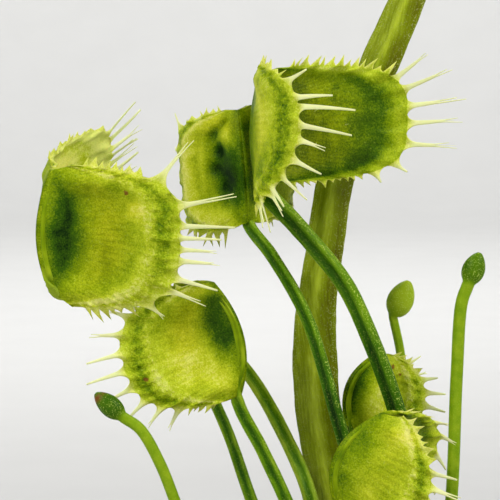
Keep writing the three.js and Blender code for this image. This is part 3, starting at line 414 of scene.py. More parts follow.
class Paint:
    """A material under way. Each method adds nodes and gives back an output of the last one."""

    def __init__(self, name):
        self.material = bpy.data.materials.new(name)
        self.material.use_nodes = True
        self.tree = self.material.node_tree
        self.tree.nodes.clear()

    def node(self, kind, inputs, output=0, **settings):
        """A new node with its settings, and its inputs set to values or linked to sockets."""
        made = self.tree.nodes.new(f"ShaderNode{kind}")
        for key, value in settings.items():
            setattr(made, key, value)
        for key, value in inputs.items():
            if isinstance(value, bpy.types.NodeSocket):
                self.tree.links.new(value, made.inputs[key])
            else:
                made.inputs[key].default_value = value
        return made.outputs[output] if made.outputs else None

    def painted(self, channel):
        return self.node("Attribute", {}, "Fac", attribute_name=channel)

    def place(self):
        return self.node("TexCoord", {}, "Object")

    def noise(self, size, detail=2.0, roughness=0.5, vector=None):
        """Noise whose lumps are about size millimetres wide."""
        inputs = {"Vector": vector or self.place(), "Scale": 1 / (size * MM), "Detail": detail,
                  "Roughness": roughness}
        return self.node("TexNoise", inputs, "Fac")

    def add(self, first, second, clamp=False):
        return self.node("Math", {0: first, 1: second}, operation="ADD", use_clamp=clamp)

    def times(self, first, second):
        return self.node("Math", {0: first, 1: second}, operation="MULTIPLY")

    def fit(self, value, low, high, to_low=0.0, to_high=1.0):
        """Maps low..high to to_low..to_high, held at the ends."""
        return self.node("MapRange", {0: value, 1: low, 2: high, 3: to_low, 4: to_high})

    def varied(self, value, texture, reach, clamp=False):
        """The value made lower and higher by a texture, by up to reach."""
        return self.add(value, self.fit(texture, 0.3, 0.7, -reach, reach), clamp)

    def blend(self, first, second, share):
        """The sum of two textures, of which the first has this share."""
        return self.add(self.times(first, share), self.times(second, 1 - share))

    def mix(self, factor, first, second):
        return self.node("Mix", {0: factor, 6: first, 7: second}, 2, data_type="RGBA")

    def ramp(self, factor, *stops):
        """A colour ramp; its stops are (position, (red, green, blue))."""
        output = self.node("ValToRGB", {0: factor})
        elements = output.node.color_ramp.elements
        while len(elements) < len(stops):
            elements.new(0.5)
        for element, (position, colour) in zip(elements, stops):
            element.position = position
            element.color = (*colour, 1)
        return output

    def bumps(self, *layers):
        """A chain of bump nodes, one for each (height, strength, depth in millimetres)."""
        inputs = {}
        for height, strength, depth in layers:
            inputs.update({"Height": height, "Strength": strength, "Distance": depth * MM})
            inputs["Normal"] = self.node("Bump", inputs)
        return inputs["Normal"]

    def dot(self, centre, radius):
        """1 inside a ragged round place about a centre in millimetres, and 0 outside it."""
        inputs = {0: self.place(), 1: [k * MM for k in centre]}
        away = self.node("VectorMath", inputs, "Value", operation="DISTANCE")
        radius *= MM
        ragged = self.varied(away, self.noise(0.35), 0.3 * radius)
        return self.fit(ragged, 0.6 * radius, 1.1 * radius, 0.85, 0)

    def surface(self, colour, texture, low, high, normal=None, specular=0.5, flesh=()):
        """Ends the material. Its roughness goes from low to high with the texture. Flesh is the
        weight, depth in millimetres and radius by colour of the light that shines through."""
        inputs = {"Base Color": colour, "Roughness": self.fit(texture, 0.3, 0.7, low, high),
                  "Specular IOR Level": specular}
        if normal:
            inputs["Normal"] = normal
        if flesh:
            weight, depth, radius = flesh
            inputs.update({"Subsurface Weight": weight, "Subsurface Scale": depth * MM,
                           "Subsurface Radius": radius})
        self.node("OutputMaterial", {"Surface": self.node("BsdfPrincipled", inputs)})
        return self.material


GREENS = (
    (0.0, (0.002, 0.018, 0)), (0.25, (0.042, 0.12, 0)), (0.5, (0.22, 0.33, 0)),
    (0.75, (0.5, 0.6, 0.02)), (1.0, (0.76, 0.8, 0.2)),
)
OLIVES = (
    (0.0, (0.03, 0.05, 0)), (0.25, (0.12, 0.165, 0)), (0.5, (0.32, 0.37, 0)),
    (0.75, (0.62, 0.62, 0.015)), (1.0, (0.86, 0.8, 0.18)),
)
PETIOLE_GREENS = (
    (0.0, (0.006, 0.035, 0)), (0.4, (0.035, 0.125, 0)), (0.7, (0.13, 0.27, 0.001)),
    (1.0, (0.38, 0.5, 0.03)),
)
TALL_GREENS = (
    (0.0, (0.055, 0.03, 0.001)), (0.25, (0.085, 0.08, 0)), (0.6, (0.2, 0.26, 0)),
    (1.0, (0.45, 0.55, 0.03)),
)
YOUNG_GREENS = ((0.0, (0.04, 0.12, 0)), (0.5, (0.16, 0.3, 0)), (1.0, (0.42, 0.54, 0.02)))
CREAM = (0.82, 0.86, 0.42, 1)
RUST = (0.2, 0.06, 0.012, 1)
PALE = (0.56, 0.68, 0.12, 1)


def trap_material(blemishes):
    """The skin of a trap: granular, from deep green hollows, darkened by painted shade, to a pale
    margin and cream cilia.
    """
    skin = Paint("trap_skin")
    clouds = skin.noise(2.6, 4, 0.6)
    grains = skin.noise(0.24, 3, 0.6)
    wrinkles = skin.noise(0.75, 3, 0.6)
    rough = skin.painted("rough")
    shade = skin.varied(skin.painted("shade"), clouds, 0.11)
    shade = skin.add(shade, skin.fit(grains, 0.32, 0.68, -0.11, 0.11))
    # the margin's wrinkles make it paler where they rise: painted highlights on the crinkles
    uneven = skin.times(rough, skin.fit(wrinkles, 0.35, 0.65, -0.05, 0.17))
    shade = skin.add(shade, uneven, clamp=True)
    colour = skin.mix(skin.painted("olive"), skin.ramp(shade, *GREENS), skin.ramp(shade, *OLIVES))
    # pale granules, partly painted glints on the moist skin, fewer where the shade is dark
    specks = skin.times(skin.fit(skin.noise(0.3), 0.58, 0.74), shade)
    colour = skin.mix(skin.times(specks, 0.4), colour, PALE)
    for centre, radius in blemishes:
        colour = skin.mix(skin.dot(centre, radius), colour, RUST)
    colour = skin.mix(skin.painted("cream"), colour, CREAM)
    raised = skin.times(rough, wrinkles)
    normal = skin.bumps((grains, 0.5, 0.1), (clouds, 0.3, 0.3), (raised, 0.8, 0.8))
    return skin.surface(colour, grains, 0.38, 0.6, normal, 0.08, (0.18, 0.7, (0.7, 1.0, 0.15)))


def petiole_material(name, greens, edge, foot):
    """The skin of a petiole: long fine streaks, a channel darkened by painted shade, and rough
    edges made paler by painted rim light.
    """
    skin = Paint(name)
    flow = skin.node("CombineXYZ", {0: skin.painted("around"), 1: skin.painted("length")})
    streaks = skin.noise(0.35 / MM, 3, 0.6, flow)  # flow is in millimetres, not in metres
    grains = skin.noise(0.26, 3, 0.6)
    clouds = skin.noise(4)
    shade = skin.varied(skin.painted("shade"), streaks, 0.14)
    colour = skin.ramp(skin.varied(shade, clouds, 0.08, clamp=True), *greens)
    # pale rough specks, thin all over and most along the edges, where they are painted rim light
    edges = skin.times(skin.fit(grains, 0.55, 0.66), skin.painted("edge"))
    colour = skin.mix(skin.times(edges, 0.75), colour, edge)
    colour = skin.mix(skin.painted("foot"), colour, foot)
    midrib = skin.ramp(skin.fit(clouds, 0.3, 0.7, 0.34, 0.62), *GREENS)
    colour = skin.mix(skin.painted("fresh"), colour, midrib)
    normal = skin.bumps((grains, 0.4, 0.08), (streaks, 0.35, 0.16))
    return skin.surface(colour, grains, 0.34, 0.54, normal, 0.1, (0.12, 0.7, (0.6, 1.0, 0.12)))


def young_material():
    """A bud-like head and its slim stalk: fine pale dots, and rust where it is painted."""
    skin = Paint("young_skin")
    grains = skin.noise(0.2, 2, 0.6)
    clouds = skin.noise(1.6, 3)
    shade = skin.varied(skin.painted("shade"), clouds, 0.1, clamp=True)
    specks = skin.times(skin.fit(grains, 0.56, 0.66), skin.painted("edge"))
    colour = skin.mix(skin.times(specks, 0.5), skin.ramp(shade, *YOUNG_GREENS), PALE)
    rust = skin.times(skin.painted("rust"), skin.fit(clouds, 0.4, 0.6))
    colour = skin.mix(rust, colour, RUST)
    return skin.surface(colour, grains, 0.3, 0.5, skin.bumps((grains, 0.4, 0.08)), 0.1,
                        (0.2, 0.8, (0.7, 1.0, 0.15)))


def rhizome_material():
    skin = Paint("rhizome_skin")
    grains = skin.noise(0.4, 4, 0.6)
    colour = skin.ramp(grains, (0.3, (0.25, 0.24, 0.08)), (0.6, (0.6, 0.62, 0.36)))
    return skin.surface(colour, grains, 0.5, 0.7, skin.bumps((grains, 0.6, 0.2)))


def peat_material(name, mixed):
    """Moist peat: near black to warm brown, and rough. A mixed one has perlite and moss too, where
    they are painted."""
    peat = Paint(name)
    fibres = peat.noise(0.9, 6, 0.7)
    lumps = peat.noise(3.5, 4, 0.6)
    colour = peat.ramp(peat.blend(fibres, lumps, 0.6), (0.3, (0.008, 0.005, 0.003)),
                       (0.5, (0.035, 0.02, 0.011)), (0.7, (0.13, 0.08, 0.045)))
    if mixed:
        white = peat.ramp(fibres, (0.3, (0.42, 0.4, 0.34)), (0.6, (0.72, 0.7, 0.64)))
        moss = peat.ramp(fibres, (0.3, (0.03, 0.07, 0.01)), (0.6, (0.13, 0.22, 0.03)))
        colour = peat.mix(peat.painted("white"), colour, white)
        colour = peat.mix(peat.painted("moss"), colour, moss)
    return peat.surface(colour, fibres, 0.65, 0.95, peat.bumps((fibres, 0.9, 0.5), (lumps, 0.5, 1)))


def pot_material():
    """Matt terracotta-coloured plastic with a fine grain, faint scuffs and dust near its foot."""
    plastic = Paint("pot_plastic")
    grain = plastic.noise(0.35)
    clouds = plastic.noise(22, 4, 0.6)
    scuffs = plastic.noise(5, 5, 0.7)
    colour = plastic.ramp(plastic.blend(clouds, scuffs, 0.6), (0.3, (0.34, 0.1, 0.046)),
                          (0.5, (0.43, 0.135, 0.062)), (0.7, (0.5, 0.175, 0.085)))
    dust = plastic.times(plastic.fit(scuffs, 0.55, 0.75), plastic.painted("dust"))
    colour = plastic.mix(plastic.times(dust, 0.5), colour, (0.5, 0.4, 0.3, 1))
    normal = plastic.bumps((grain, 0.25, 0.08), (clouds, 0.1, 0.4))
    return plastic.surface(colour, scuffs, 0.42, 0.62, normal, 0.4)


def floor_material():
    pale = Paint("pale_floor")
    grain = pale.noise(40, 3)
    colour = pale.ramp(grain, (0.3, (0.635, 0.635, 0.625)), (0.7, (0.65, 0.65, 0.64)))
    return pale.surface(colour, grain, 0.8, 0.8)


# ---- petioles

def stem_line(points, last, step):
    """Evenly spaced places along a stem, from its foot in the soil, and the total length."""
    foot_x, foot_y = points[0]
    ground = SOIL_LEVEL + mound(math.hypot(foot_x, foot_y))
    stops = [(foot_x, foot_y, ground - ROOT_DEPTH), (foot_x, foot_y, ground + 3)]
    stops = np.array([*stops, *points[1:], *last], float)
    stops = np.concatenate([[2 * stops[0] - stops[1]], stops, [2 * stops[-1] - stops[-2]]])
    u = np.linspace(0, 1, 33)[:, None]
    line = [stops[1:2]]
    for p0, p1, p2, p3 in zip(stops, stops[1:], stops[2:], stops[3:]):
        d0, d1, d2 = (np.linalg.norm(b - a) ** 0.5 for a, b in ((p0, p1), (p1, p2), (p2, p3)))
        t1 = ((p1 - p0) / d0 - (p2 - p0) / (d0 + d1) + (p2 - p1) / d1) * d1
        t2 = ((p2 - p1) / d1 - (p3 - p1) / (d1 + d2) + (p3 - p2) / d2) * d1
        part = (p1 + t1 * u + (3 * p2 - 3 * p1 - 2 * t1 - t2) * u ** 2
                + (2 * p1 - 2 * p2 + t1 + t2) * u ** 3)
        line.append(part[1:])
    line = np.concatenate(line)
    lengths = summed(np.linalg.norm(np.diff(line, axis=0), axis=1))
    at = np.linspace(0, lengths[-1], max(8, round(lengths[-1] / step)) + 1)
    return np.stack([np.interp(at, lengths, line[:, k]) for k in range(3)], axis=1), lengths[-1]


def stem_rings(line, face, x, y):
    """Rings round a stem, whose points are x across it and y to the front that it faces."""
    tangent = unit(np.gradient(line, axis=0))
    front = unit(face - (tangent @ np.asarray(face, float))[:, None] * tangent)
    across = np.cross(tangent, front)
    return line[:, None] + across[:, None] * x[..., None] + front[:, None] * y[..., None]


TURN = turns(PETIOLE_SIDES)
FRONT, BACK = math.pi / 2, 3 * math.pi / 2  # the turns at a stem's front and back
CHANNEL = bump(TURN, FRONT, 0.5)
KEEL = bump(TURN, BACK, 0.42)
# how much a petiole's edges are made paler: painted rim light
EDGE_LIGHT = bump(np.abs(np.cos(TURN)), 1, 0.22)


def build_petiole(name, leaf, material):
    """A petiole, channelled in front, keeled at the back, its two edges thin and pale. Painted
    shade darkens its channel and its pale edges are painted rim light. It goes on as the trap's
    midrib.
    The tall leaf's is flatter behind and browner to its foot, with a pale ridge down its keel, a
    painted highlight, and painted light on one side of its back and painted shade on the other."""
    trap = Trap(leaf)
    parts = np.array([-1, -0.4, 0.3, 0.94])  # of the midrib, from its base to its tip
    midrib = (trap.middle + parts[:, None] * trap.reach * trap.along
              - (trap.bow_at(parts * trap.reach) + MIDRIB_BACK)[:, None] * trap.open)
    stalk_length = stem_line(leaf["petiole"], [midrib[0]], 1)[1]
    line, length = stem_line(leaf["petiole"], midrib, PETIOLE_STEP)
    at = np.linspace(0, 1, len(line))
    joint = stalk_length / length
    half = spread_along(leaf["width"], at / joint) / 2
    taper = MIDRIB_HALF[0] + (MIDRIB_HALF[1] - MIDRIB_HALF[0]) * (at - joint) / (1 - joint)
    ease = smooth((at - joint + 0.03) / 0.05)
    half, depth = (np.where(at > joint, taper, size) * ease + size * (1 - ease)
                   for size in (half, np.minimum(half * 0.85, 1.5)))

    height = line[:, 2]
    # painted shade darkens the channel; tone is painted light that makes some petioles paler
    shade = 0.4 + leaf.get("tone", 0) - 0.42 * CHANNEL + 0.22 * KEEL
    height_tone = -0.3 * smooth((height - 126) / 24)  # paler near the top
    channel_depth, flat = 0.62, 0
    if name == "tall_back":
        # the tall petiole's painted highlight along its keel, painted light on one side of its back
        # and painted shade on the other
        keel_highlight = bump(TURN, BACK, 0.24)
        left, right = bump(TURN, BACK + 0.85, 0.5), bump(TURN, BACK - 0.8, 0.4)
        shade = 0.56 + 0.34 * keel_highlight + 0.14 * left - 0.14 * right
        # darker towards the foot
        height_tone = 0.42 * smooth((122 - height) / 40)
        channel_depth, flat = 0.75, 0.3
    profile = np.sin(TURN) * (1 - channel_depth * CHANNEL) * (1 + 0.12 * KEEL)
    profile = profile * (1 - flat * (1 - KEEL) * (np.sin(TURN) < 0))
    along = at * length
    wobble = 1 + 0.012 * np.sin(along * 0.9 + 1.3) + 0.006 * np.sin(along * 2.3)
    rings = stem_rings(line, leaf["face"], np.cos(TURN) * (half * wobble)[:, None],
                       profile * depth[:, None])
    shell = Shell("shade", "edge", "foot", "fresh", "around", "length")
    shell.tube(rings, shade=shade - height_tone[:, None], edge=EDGE_LIGHT + 0.25,
               foot=0.7 * smooth((SOIL_LEVEL + 9 - height) / 10)[:, None],
               fresh=smooth((at - joint + 0.02) / 0.06)[:, None],
               around=TURN * half[:, None], length=(along * 0.12)[:, None])
    make_piece(f"{name}_petiole", shell, material, f"leaf_{name}")


# ---- traps

class Trap:
    """A trap's own directions: along its midrib, open, and side, which points to plus. Reach is
    half of the midrib's length."""

    def __init__(self, leaf):
        base, tip, opening = (np.array(leaf[key], float) for key in ("base", "tip", "opening"))
        self.middle = (base + tip) / 2
        self.along = unit(tip - base)
        self.open = unit(opening - opening @ self.along * self.along)
        self.side = np.cross(self.along, self.open)
        self.reach = np.linalg.norm(tip - base) / 2
        self.bow = leaf["bow"]

    def bow_at(self, x):
        """How far back the midrib bows at x along it."""
        return self.bow * np.clip(1 - (x / self.reach) ** 2, -0.25, 1)


class Lobe(Trap):
    """A lobe's numbers and the forms that come from them. Its sign is -1 for minus."""

    def __init__(self, leaf, name):
        super().__init__(leaf)
        vars(self).update(leaf[name])
        self.sign = -1 if name == "minus" else 1
        even = len(self.cilia) == 2
        self.roots = np.linspace(*self.cilia, len(self.lengths)) if even else np.array(self.cilia)

    def margin(self, s):
        """The flat margin at fractions of its length: x along the midrib, y across it, and the
        length of the whole margin."""
        from_base, from_tip = (math.asin((OUTLINE_START / self.width) ** (corner / 2))
                               for corner in self.corner)
        angle = np.linspace(from_base, math.pi - from_tip, 500)
        to_base = np.cos(angle)
        power = 2 / by_end(self.corner, -to_base)
        x = -np.sign(to_base) * np.abs(to_base) ** power * by_end(self.half, -to_base)
        y = np.sin(angle) ** power * self.width
        lengths = summed(np.hypot(np.diff(x), np.diff(y)))
        at = np.clip(s, 0, 1) * lengths[-1]
        return np.interp(at, lengths, x), np.interp(at, lengths, y), lengths[-1]

    def angle(self, y):
        low, high = np.radians(self.spread)
        return low + (high - low) * y / self.width

    def inward(self, y):
        """The direction square to the lobe at y, to the inside of the trap."""
        angle = self.angle(y)[..., None]
        return -self.sign * np.cos(angle) * self.side + np.sin(angle) * self.open

    def bent(self, x, y):
        """A flat place (x, y) bent up from the midrib along the lobe's spread."""
        low, high = np.radians(self.spread)
        angle = self.angle(y)
        out = self.width * (math.cos(low) - np.cos(angle)) / (high - low)
        up = self.width * (np.sin(angle) - math.sin(low)) / (high - low)
        t = y / self.width
        bow = self.bow_at(x) * (1 - np.clip(t, 0, 1)) ** 1.5
        return (self.middle + (x + self.skew * t)[..., None] * self.along
                + self.sign * out[..., None] * self.side + (up - bow)[..., None] * self.open)

    def place(self, x, y):
        """The lobe's middle surface: bent, hollowed, folded in a ring and waved at its ends."""
        t = y / self.width
        corner = by_end(self.corner, x)
        rim = (np.abs(x / by_end(self.half, x)) ** corner + t ** corner) ** (1 / corner)
        held = np.minimum(rim, 1)
        hollow = self.hollow * (1 - held ** 3) * bump(t, 0.38, 0.34)
        fold = -self.fold * bump(rim, FOLD_AT, 0.16)
        wave = 0.35 * held ** 8 * np.sin(x * 1.9 + y * 1.3) * (1 - 0.5 * t)
        lift = np.clip(t / 0.2, 0, 1)
        return self.bent(x, y) + (lift * (hollow + fold + wave))[..., None] * self.inward(y)

    def tooth_ways(self, s):
        """The ways that teeth point: out of the outline, along the lobe, a little into the trap."""
        x, y, _ = self.margin(s)
        before, after = (np.array(self.margin(s + step)[:2]) for step in (-0.02, 0.02))
        run_x, run_y = (after - before) / np.hypot(*(after - before))
        out_x, out_y = -run_y * 0.8, run_x + 0.25
        step = self.bent(x + out_x * 0.5, y + out_y * 0.5) - self.bent(x, y)
        return unit(unit(step) + self.lean * self.along + 0.12 * self.inward(y))

    def columns(self, total, draw):
        """The fractions of the margin's columns, how high its saw teeth rise there, and its
        stretches of saw teeth and cilia, as (first column, last column, cilium length or 0)."""
        roots = self.roots
        middles = (roots[1:] + roots[:-1]) / 2
        edges = [2 * roots[0] - middles[0], *middles, 2 * roots[-1] - middles[-1]]
        columns = [0.0]
        heights = [0.0]
        stretches = []

        def saw(end, scale):
            start, begin = len(columns) - 1, columns[-1]
            teeth = max(2, round((end - begin) * total / SAW_PITCH))
            steps = summed(draw.uniform(0.6, 1.4, teeth))
            notches = begin + (end - begin) * (steps / steps[-1])
            for left, right in zip(notches, notches[1:]):
                peak = draw.uniform(0.45, 0.68)
                height = SAW_HEIGHT * scale * draw.uniform(0.45, 1.5)
                if not SAW_ENDS < (left + right) / 2 < 1 - SAW_ENDS:
                    height = 0.0
                for part, rise in ((peak * 0.55, 0.42), (peak, 1), (peak + (1 - peak) * 0.5, 0.36),
                                   (1, 0.06)):
                    columns.append(left + (right - left) * part)
                    heights.append(height * rise)
            heights[-1] = 0.0
            stretches.append((start, len(columns) - 1, 0))

        saw(edges[0], self.saw[0])
        for left, root, right, length in zip(edges, roots, edges[1:], self.lengths):
            start = len(columns) - 1
            columns.extend(root + (root - left if u < 0 else right - root) * u
                           for u in CILIUM_COLUMNS[1:])
            heights.extend([0.0] * (len(CILIUM_COLUMNS) - 1))
            stretches.append((start, len(columns) - 1, length))
        saw(1.0, self.saw[1])
        return np.array(columns), np.array(heights), stretches

    def tones(self, s, v, inside):
        """Painted shade and olive by place, on the inner or the outer face."""
        # The dips near the midrib and in the groove by the fold (v 0.78 inside, 0.87 outside) are
        # painted shade in these hollows. The outer face's rise at v 0.76 is partly the leaf's own
        # colour and partly a painted highlight on the fold's raised ring; the pale margin and the
        # olive middle are the leaf's own colour.
        if inside:
            shade = 0.34 + 0.1 * bump(v, 0.52, 0.22) - 0.07 * bump(v, 0.78, 0.08)
            shade = shade + 0.34 * smooth((v - 0.81) / 0.14) - 0.12 * bump(v, 0.1, 0.25)
            # painted light makes the inner face paler where it lies in shade; below 0 it darkens it
            shade = shade + self.glow
            olive = 0.85 * bump(v, 0.35, 0.35)
        else:
            ends = smooth((np.abs(s - 0.5) - 0.22) / 0.2)
            shade = 0.5 + 0.2 * bump(v, 0.76, 0.07) - 0.12 * bump(v, 0.87, 0.05)
            shade = shade + 0.22 * smooth((v - 0.9) / 0.1) - 0.16 * bump(v, 0.1, 0.16)
            shade = shade + 0.12 * ends * v
            olive = 0.3 * bump(v, 0.45, 0.25) * (1 - ends) + 0.2 * ends
        # a mark's shade is partly the leaf's own colour and partly painted shade in the dents that
        # it pushes in and painted light on the spots that it raises
        marks = self.inner_marks if inside else self.marks
        for spot, (add_shade, add_olive, _) in spots(marks, s, v):
            shade = shade + add_shade * spot
            olive = olive + add_olive * spot
        return np.clip(shade, 0, 1), np.clip(olive, 0, 1)


def spots(marks, s, v):
    """For each mark, how strong it is at places (s, v), and what it adds to shade, olive and
    depth."""
    for mark_s, mark_v, reach_s, reach_v, *added in marks:
        yield bump(s, mark_s, reach_s) * bump(v, mark_v, reach_v), added


def leaf_blemishes(leaf):
    """The centre and the radius of each rusty dot on a leaf's two lobes, in millimetres."""
    for lobe in (Lobe(leaf, "minus"), Lobe(leaf, "plus")):
        for s, v, radius in lobe.blemishes:
            x, y, _ = lobe.margin(s)
            x, y = lobe.reach * (2 * s - 1) * (1 - v) + x * v, y * v
            yield (lobe.place(x, y) - 0.35 * lobe.inward(y)).tolist(), radius


def add_cilium(shell, rows, middle_points, square, way, across, length, draw):
    """One cilium, from the rim's front and back rows of indices: a broad concave web at its root,
    a flat shaft, and strands that part."""
    half_root = np.linalg.norm(middle_points[-1] - middle_points[0]) / 2
    u = CILIUM_COLUMNS
    root = middle_points[len(u) // 2]
    web = max(0.9, 1.05 * half_root)
    shaft_root, shaft_tip = CILIUM_HALF
    shaft_root = min(shaft_root, 0.5 * half_root)
    bend = draw.uniform(-0.5, 0.5) * across * 0.9 + draw.uniform(-0.1, 0.5) * square
    left_over = middle_points - (root + across * (half_root * u)[:, None])
    strands = int(draw.choice([1, 2, 3], p=[0.4, 0.4, 0.2])) if length > 3 else 1
    fork = draw.uniform(0.42, 0.78) * length

    def half_width(d):
        shaft = shaft_root + (shaft_tip - shaft_root) * (d / length) ** 0.7
        reach = np.clip(1 - d / web, 0, 1)
        return shaft + (half_root - shaft_root) * (1 - math.sqrt(1 - reach ** 2))

    def row(d, places, offset=0.0, scale=1.0, fade=1.0):
        """The front and back points at a distance d from the root."""
        middle = root + way * d + bend * (d / length) ** 2 * length * 0.14 + across * offset
        points = middle + across * (half_width(d) * scale * places)[:, None]
        if fade:
            points = points + left_over * fade * max(0, 1 - d / web) ** 2
        shaft = CILIUM_HALF_THICK * (1 - 0.5 * d / length) * (1 - 0.85 * np.abs(places) ** 2.5)
        blend = smooth(d / web)
        thick = (THICKNESS[-1][1] / 2 * (1 - blend) + shaft * blend)[:, None] * square
        values = dict(shade=0.85 + 0.15 * d / length, cream=smooth(d / web * 0.9), olive=0.2)
        return [shell.add(points + lift, **values) for lift in (thick, -thick)]

    near = [web * f for f in (0.1, 0.28, 0.5, 0.75, 1)]
    far = np.linspace(web, length, 7) if strands == 1 else np.linspace(web, fork, 5)
    rows = [rows, *(row(d, u) for d in [*near, *far[1:]])]
    shell.sheet(*np.array(rows).swapaxes(0, 1), tip=strands == 1)
    cuts = {1: (), 2: (0, 5, 10), 3: (0, 4, 6, 10)}[strands]
    for number, (low, high) in enumerate(zip(cuts, cuts[1:])):
        share = u[low:high + 1]
        own_middle = (share[0] + share[-1]) / 2
        own_half = (share[-1] - share[0]) / 2
        end = length * (draw.uniform(0.82, 1.0) if number else 1.0)
        drift = (number - (len(cuts) - 2) / 2) * draw.uniform(0.25, 0.6)
        own_rows = [[face[low:high + 1] for face in rows[-1]]]
        for d in np.linspace(fork, end, 6)[1:]:
            part = (d - fork) / (end - fork)
            offset = half_width(fork) * own_middle + drift * part * 0.5
            scale = own_half * (1.0 - 0.25 * part) * half_width(fork) / half_width(d)
            own_rows.append(row(d, (share - own_middle) / own_half, offset,
                                scale * (1 - 0.4 * part), fade=0.0))
        shell.sheet(*np.array(own_rows).swapaxes(0, 1))


def add_saw(shell, rim_rows, points, ways, heights, square):
    """A stretch of saw teeth on the rim's inner and outer rows of indices."""
    rows = [rim_rows]
    for part, half_thick in ((0.5, 0.13), (1.0, 0.03)):
        pair = []
        for lift, rim_row in zip((half_thick, -half_thick), rim_rows):
            made = shell.add(points + ways * (heights * part)[:, None] + lift * square,
                             shade=0.78 + 0.1 * part, olive=0.35, cream=0.12 * part)
            pair.append(np.concatenate([rim_row[:1], made[1:-1], rim_row[-1:]]))
        rows.append(pair)
    shell.sheet(*np.array(rows).swapaxes(0, 1), sides=False)


def add_lobe(shell, lobe, draw):
    """One lobe with its saw teeth and cilia, as one closed sheet."""
    total = lobe.margin(1)[2]
    columns, heights, stretches = lobe.columns(total, draw)
    v = np.array(LOBE_ROWS)[:, None]
    rim_x, rim_y, _ = lobe.margin(columns)
    x = lobe.reach * (2 * columns - 1) * (1 - v) + rim_x * v
    y = rim_y * v
    places, square = lobe.place(x, y), lobe.inward(y)
    s, v = np.broadcast_arrays(columns, v)

    phase = draw.uniform(0, 6)
    length = s * total
    veins = 0.035 * np.sin(length * 4.6 + phase) * bump(v, 0.55, 0.3)
    dents = 0.16 * np.sin(length * 2.5 + phase) * bump(v, 0.9, 0.05)
    crinkle = 0.1 * np.sin(length * 3.9 + 3 * np.sin(v * 9)) * smooth((v - 0.62) / 0.3)
    frill = 0.3 * np.sin(length * 1.7 + phase) * v ** 10
    relief = veins + frill + (dents + crinkle) * lobe.crinkle
    for spot, (_, _, depth) in spots(lobe.marks, s, v):
        relief = relief + depth * spot
    places = places + relief[..., None] * square
    free = smooth(y / HINGE_REACH)[..., None]
    facing = unit(lobe.open * (1 - free) + square * free)
    blade = np.interp(LOBE_ROWS, *zip(*THICKNESS))[:, None, None]
    thick = (HINGE * (1 - free) + blade * free) / 2 * facing

    rough = smooth((v - 0.64) / 0.16) * (1 - 0.7 * smooth((v - 0.9) / 0.1))
    faces = []
    for inside, offset, strength in ((True, thick, 0.2), (False, -thick, lobe.crinkle)):
        shade, olive = lobe.tones(s, v, inside)
        faces.append(shell.add(places + offset, shade=shade, olive=olive, rough=rough * strength))
    inner, outer = faces
    shell.sheet(inner, outer, foot=True, tip=False)

    ways = lobe.tooth_ways(columns)
    rim, rim_square = places[-1], square[-1]
    for start, end, size in stretches:
        span = slice(start, end + 1)
        rim_rows = [inner[-1, span], outer[-1, span]]
        if size == 0:
            tilt, turn = (draw.uniform(*ends, end + 1 - start)[:, None]
                          for ends in ((-0.35, 0.45), (-0.2, 0.2)))
            way = unit(ways[span] + tilt * rim_square[span] + turn * lobe.along)
            add_saw(shell, rim_rows, rim[span], way, heights[span], rim_square[span])
            continue
        centre = (start + end) // 2
        way = ways[centre]
        across = rim[end] - rim[start]
        across = unit(across - across @ way * way)
        facing = np.cross(way, across)
        facing = facing * np.sign(facing @ rim_square[centre])
        add_cilium(shell, rim_rows, rim[span], facing, way, across,
                   size * draw.uniform(0.96, 1.04), draw)


def add_trigger_hairs(shell, lobe, draw):
    """Three fine hairs on the inner face of a lobe."""
    for part_x, part_y in TRIGGER_HAIRS:
        x = np.array([part_x * lobe.half[0] + draw.uniform(-0.4, 0.4)])
        y = np.array([part_y * lobe.width])
        root = lobe.place(x, y)[0]
        way = unit(lobe.inward(y)[0] + draw.uniform(-0.35, 0.35, 3))
        across = unit(np.cross(way, lobe.along + 0.1 * lobe.side))
        turn = turns(6)[None, :, None]
        at = np.array([0.2, 0.55, 1.0, 1.5, 1.9])[:, None, None]
        radius = np.array([0.11, 0.09, 0.06, 0.04, 0.012])[:, None, None]
        rings = root + way * at + radius * (np.cos(turn) * across
                                            + np.sin(turn) * np.cross(way, across))
        shell.tube(rings, shade=0.7, olive=0.3, cream=0.4)


def build_trap(name, leaf, material):
    shell = Shell("shade", "olive", "cream", "rough")
    for side in ("minus", "plus"):
        lobe, draw = Lobe(leaf, side), generator(f"{name} {side}")
        add_lobe(shell, lobe, draw)
        add_trigger_hairs(shell, lobe, draw)
    make_piece(f"{name}_trap", shell, material, f"leaf_{name}")


def low_leaf(bearing, reach, rise, trap_length):
    """The numbers of a low leaf of the rosette: it arches out and its trap faces up."""
    angle = math.radians(bearing)
    out_x, out_y = math.cos(angle), math.sin(angle)

    def at(radius, height):
        return (out_x * radius, out_y * radius, SOIL_LEVEL + height)

    lengths = [part * trap_length * 0.36 for part in (0.55, 0.8, 0.95, 1, 1, 0.9, 0.7)]
    return dict(
        petiole=[(out_x * 9.6, out_y * 9.6), at(11, 10), at(reach * 0.55, rise * 0.9),
                 at(reach * 0.85, rise * 1.02)],
        face=(-out_x * 0.3, -out_y * 0.3, 1), width=(2.6, 2.6, 4.8, 4, 2.2),
        base=at(reach, rise), tip=at(reach + trap_length * 0.93, rise + trap_length * 0.36),
        opening=(-out_x * 0.35, -out_y * 0.35, 1), bow=1,
        **twins(trap_length * 0.8, trap_length * 0.56, 2.7, (58, 30), hollow=-0.7, fold=0.6,
                cilia=(0.26, 0.74), lengths=lengths),
    )


# ---- young leaves

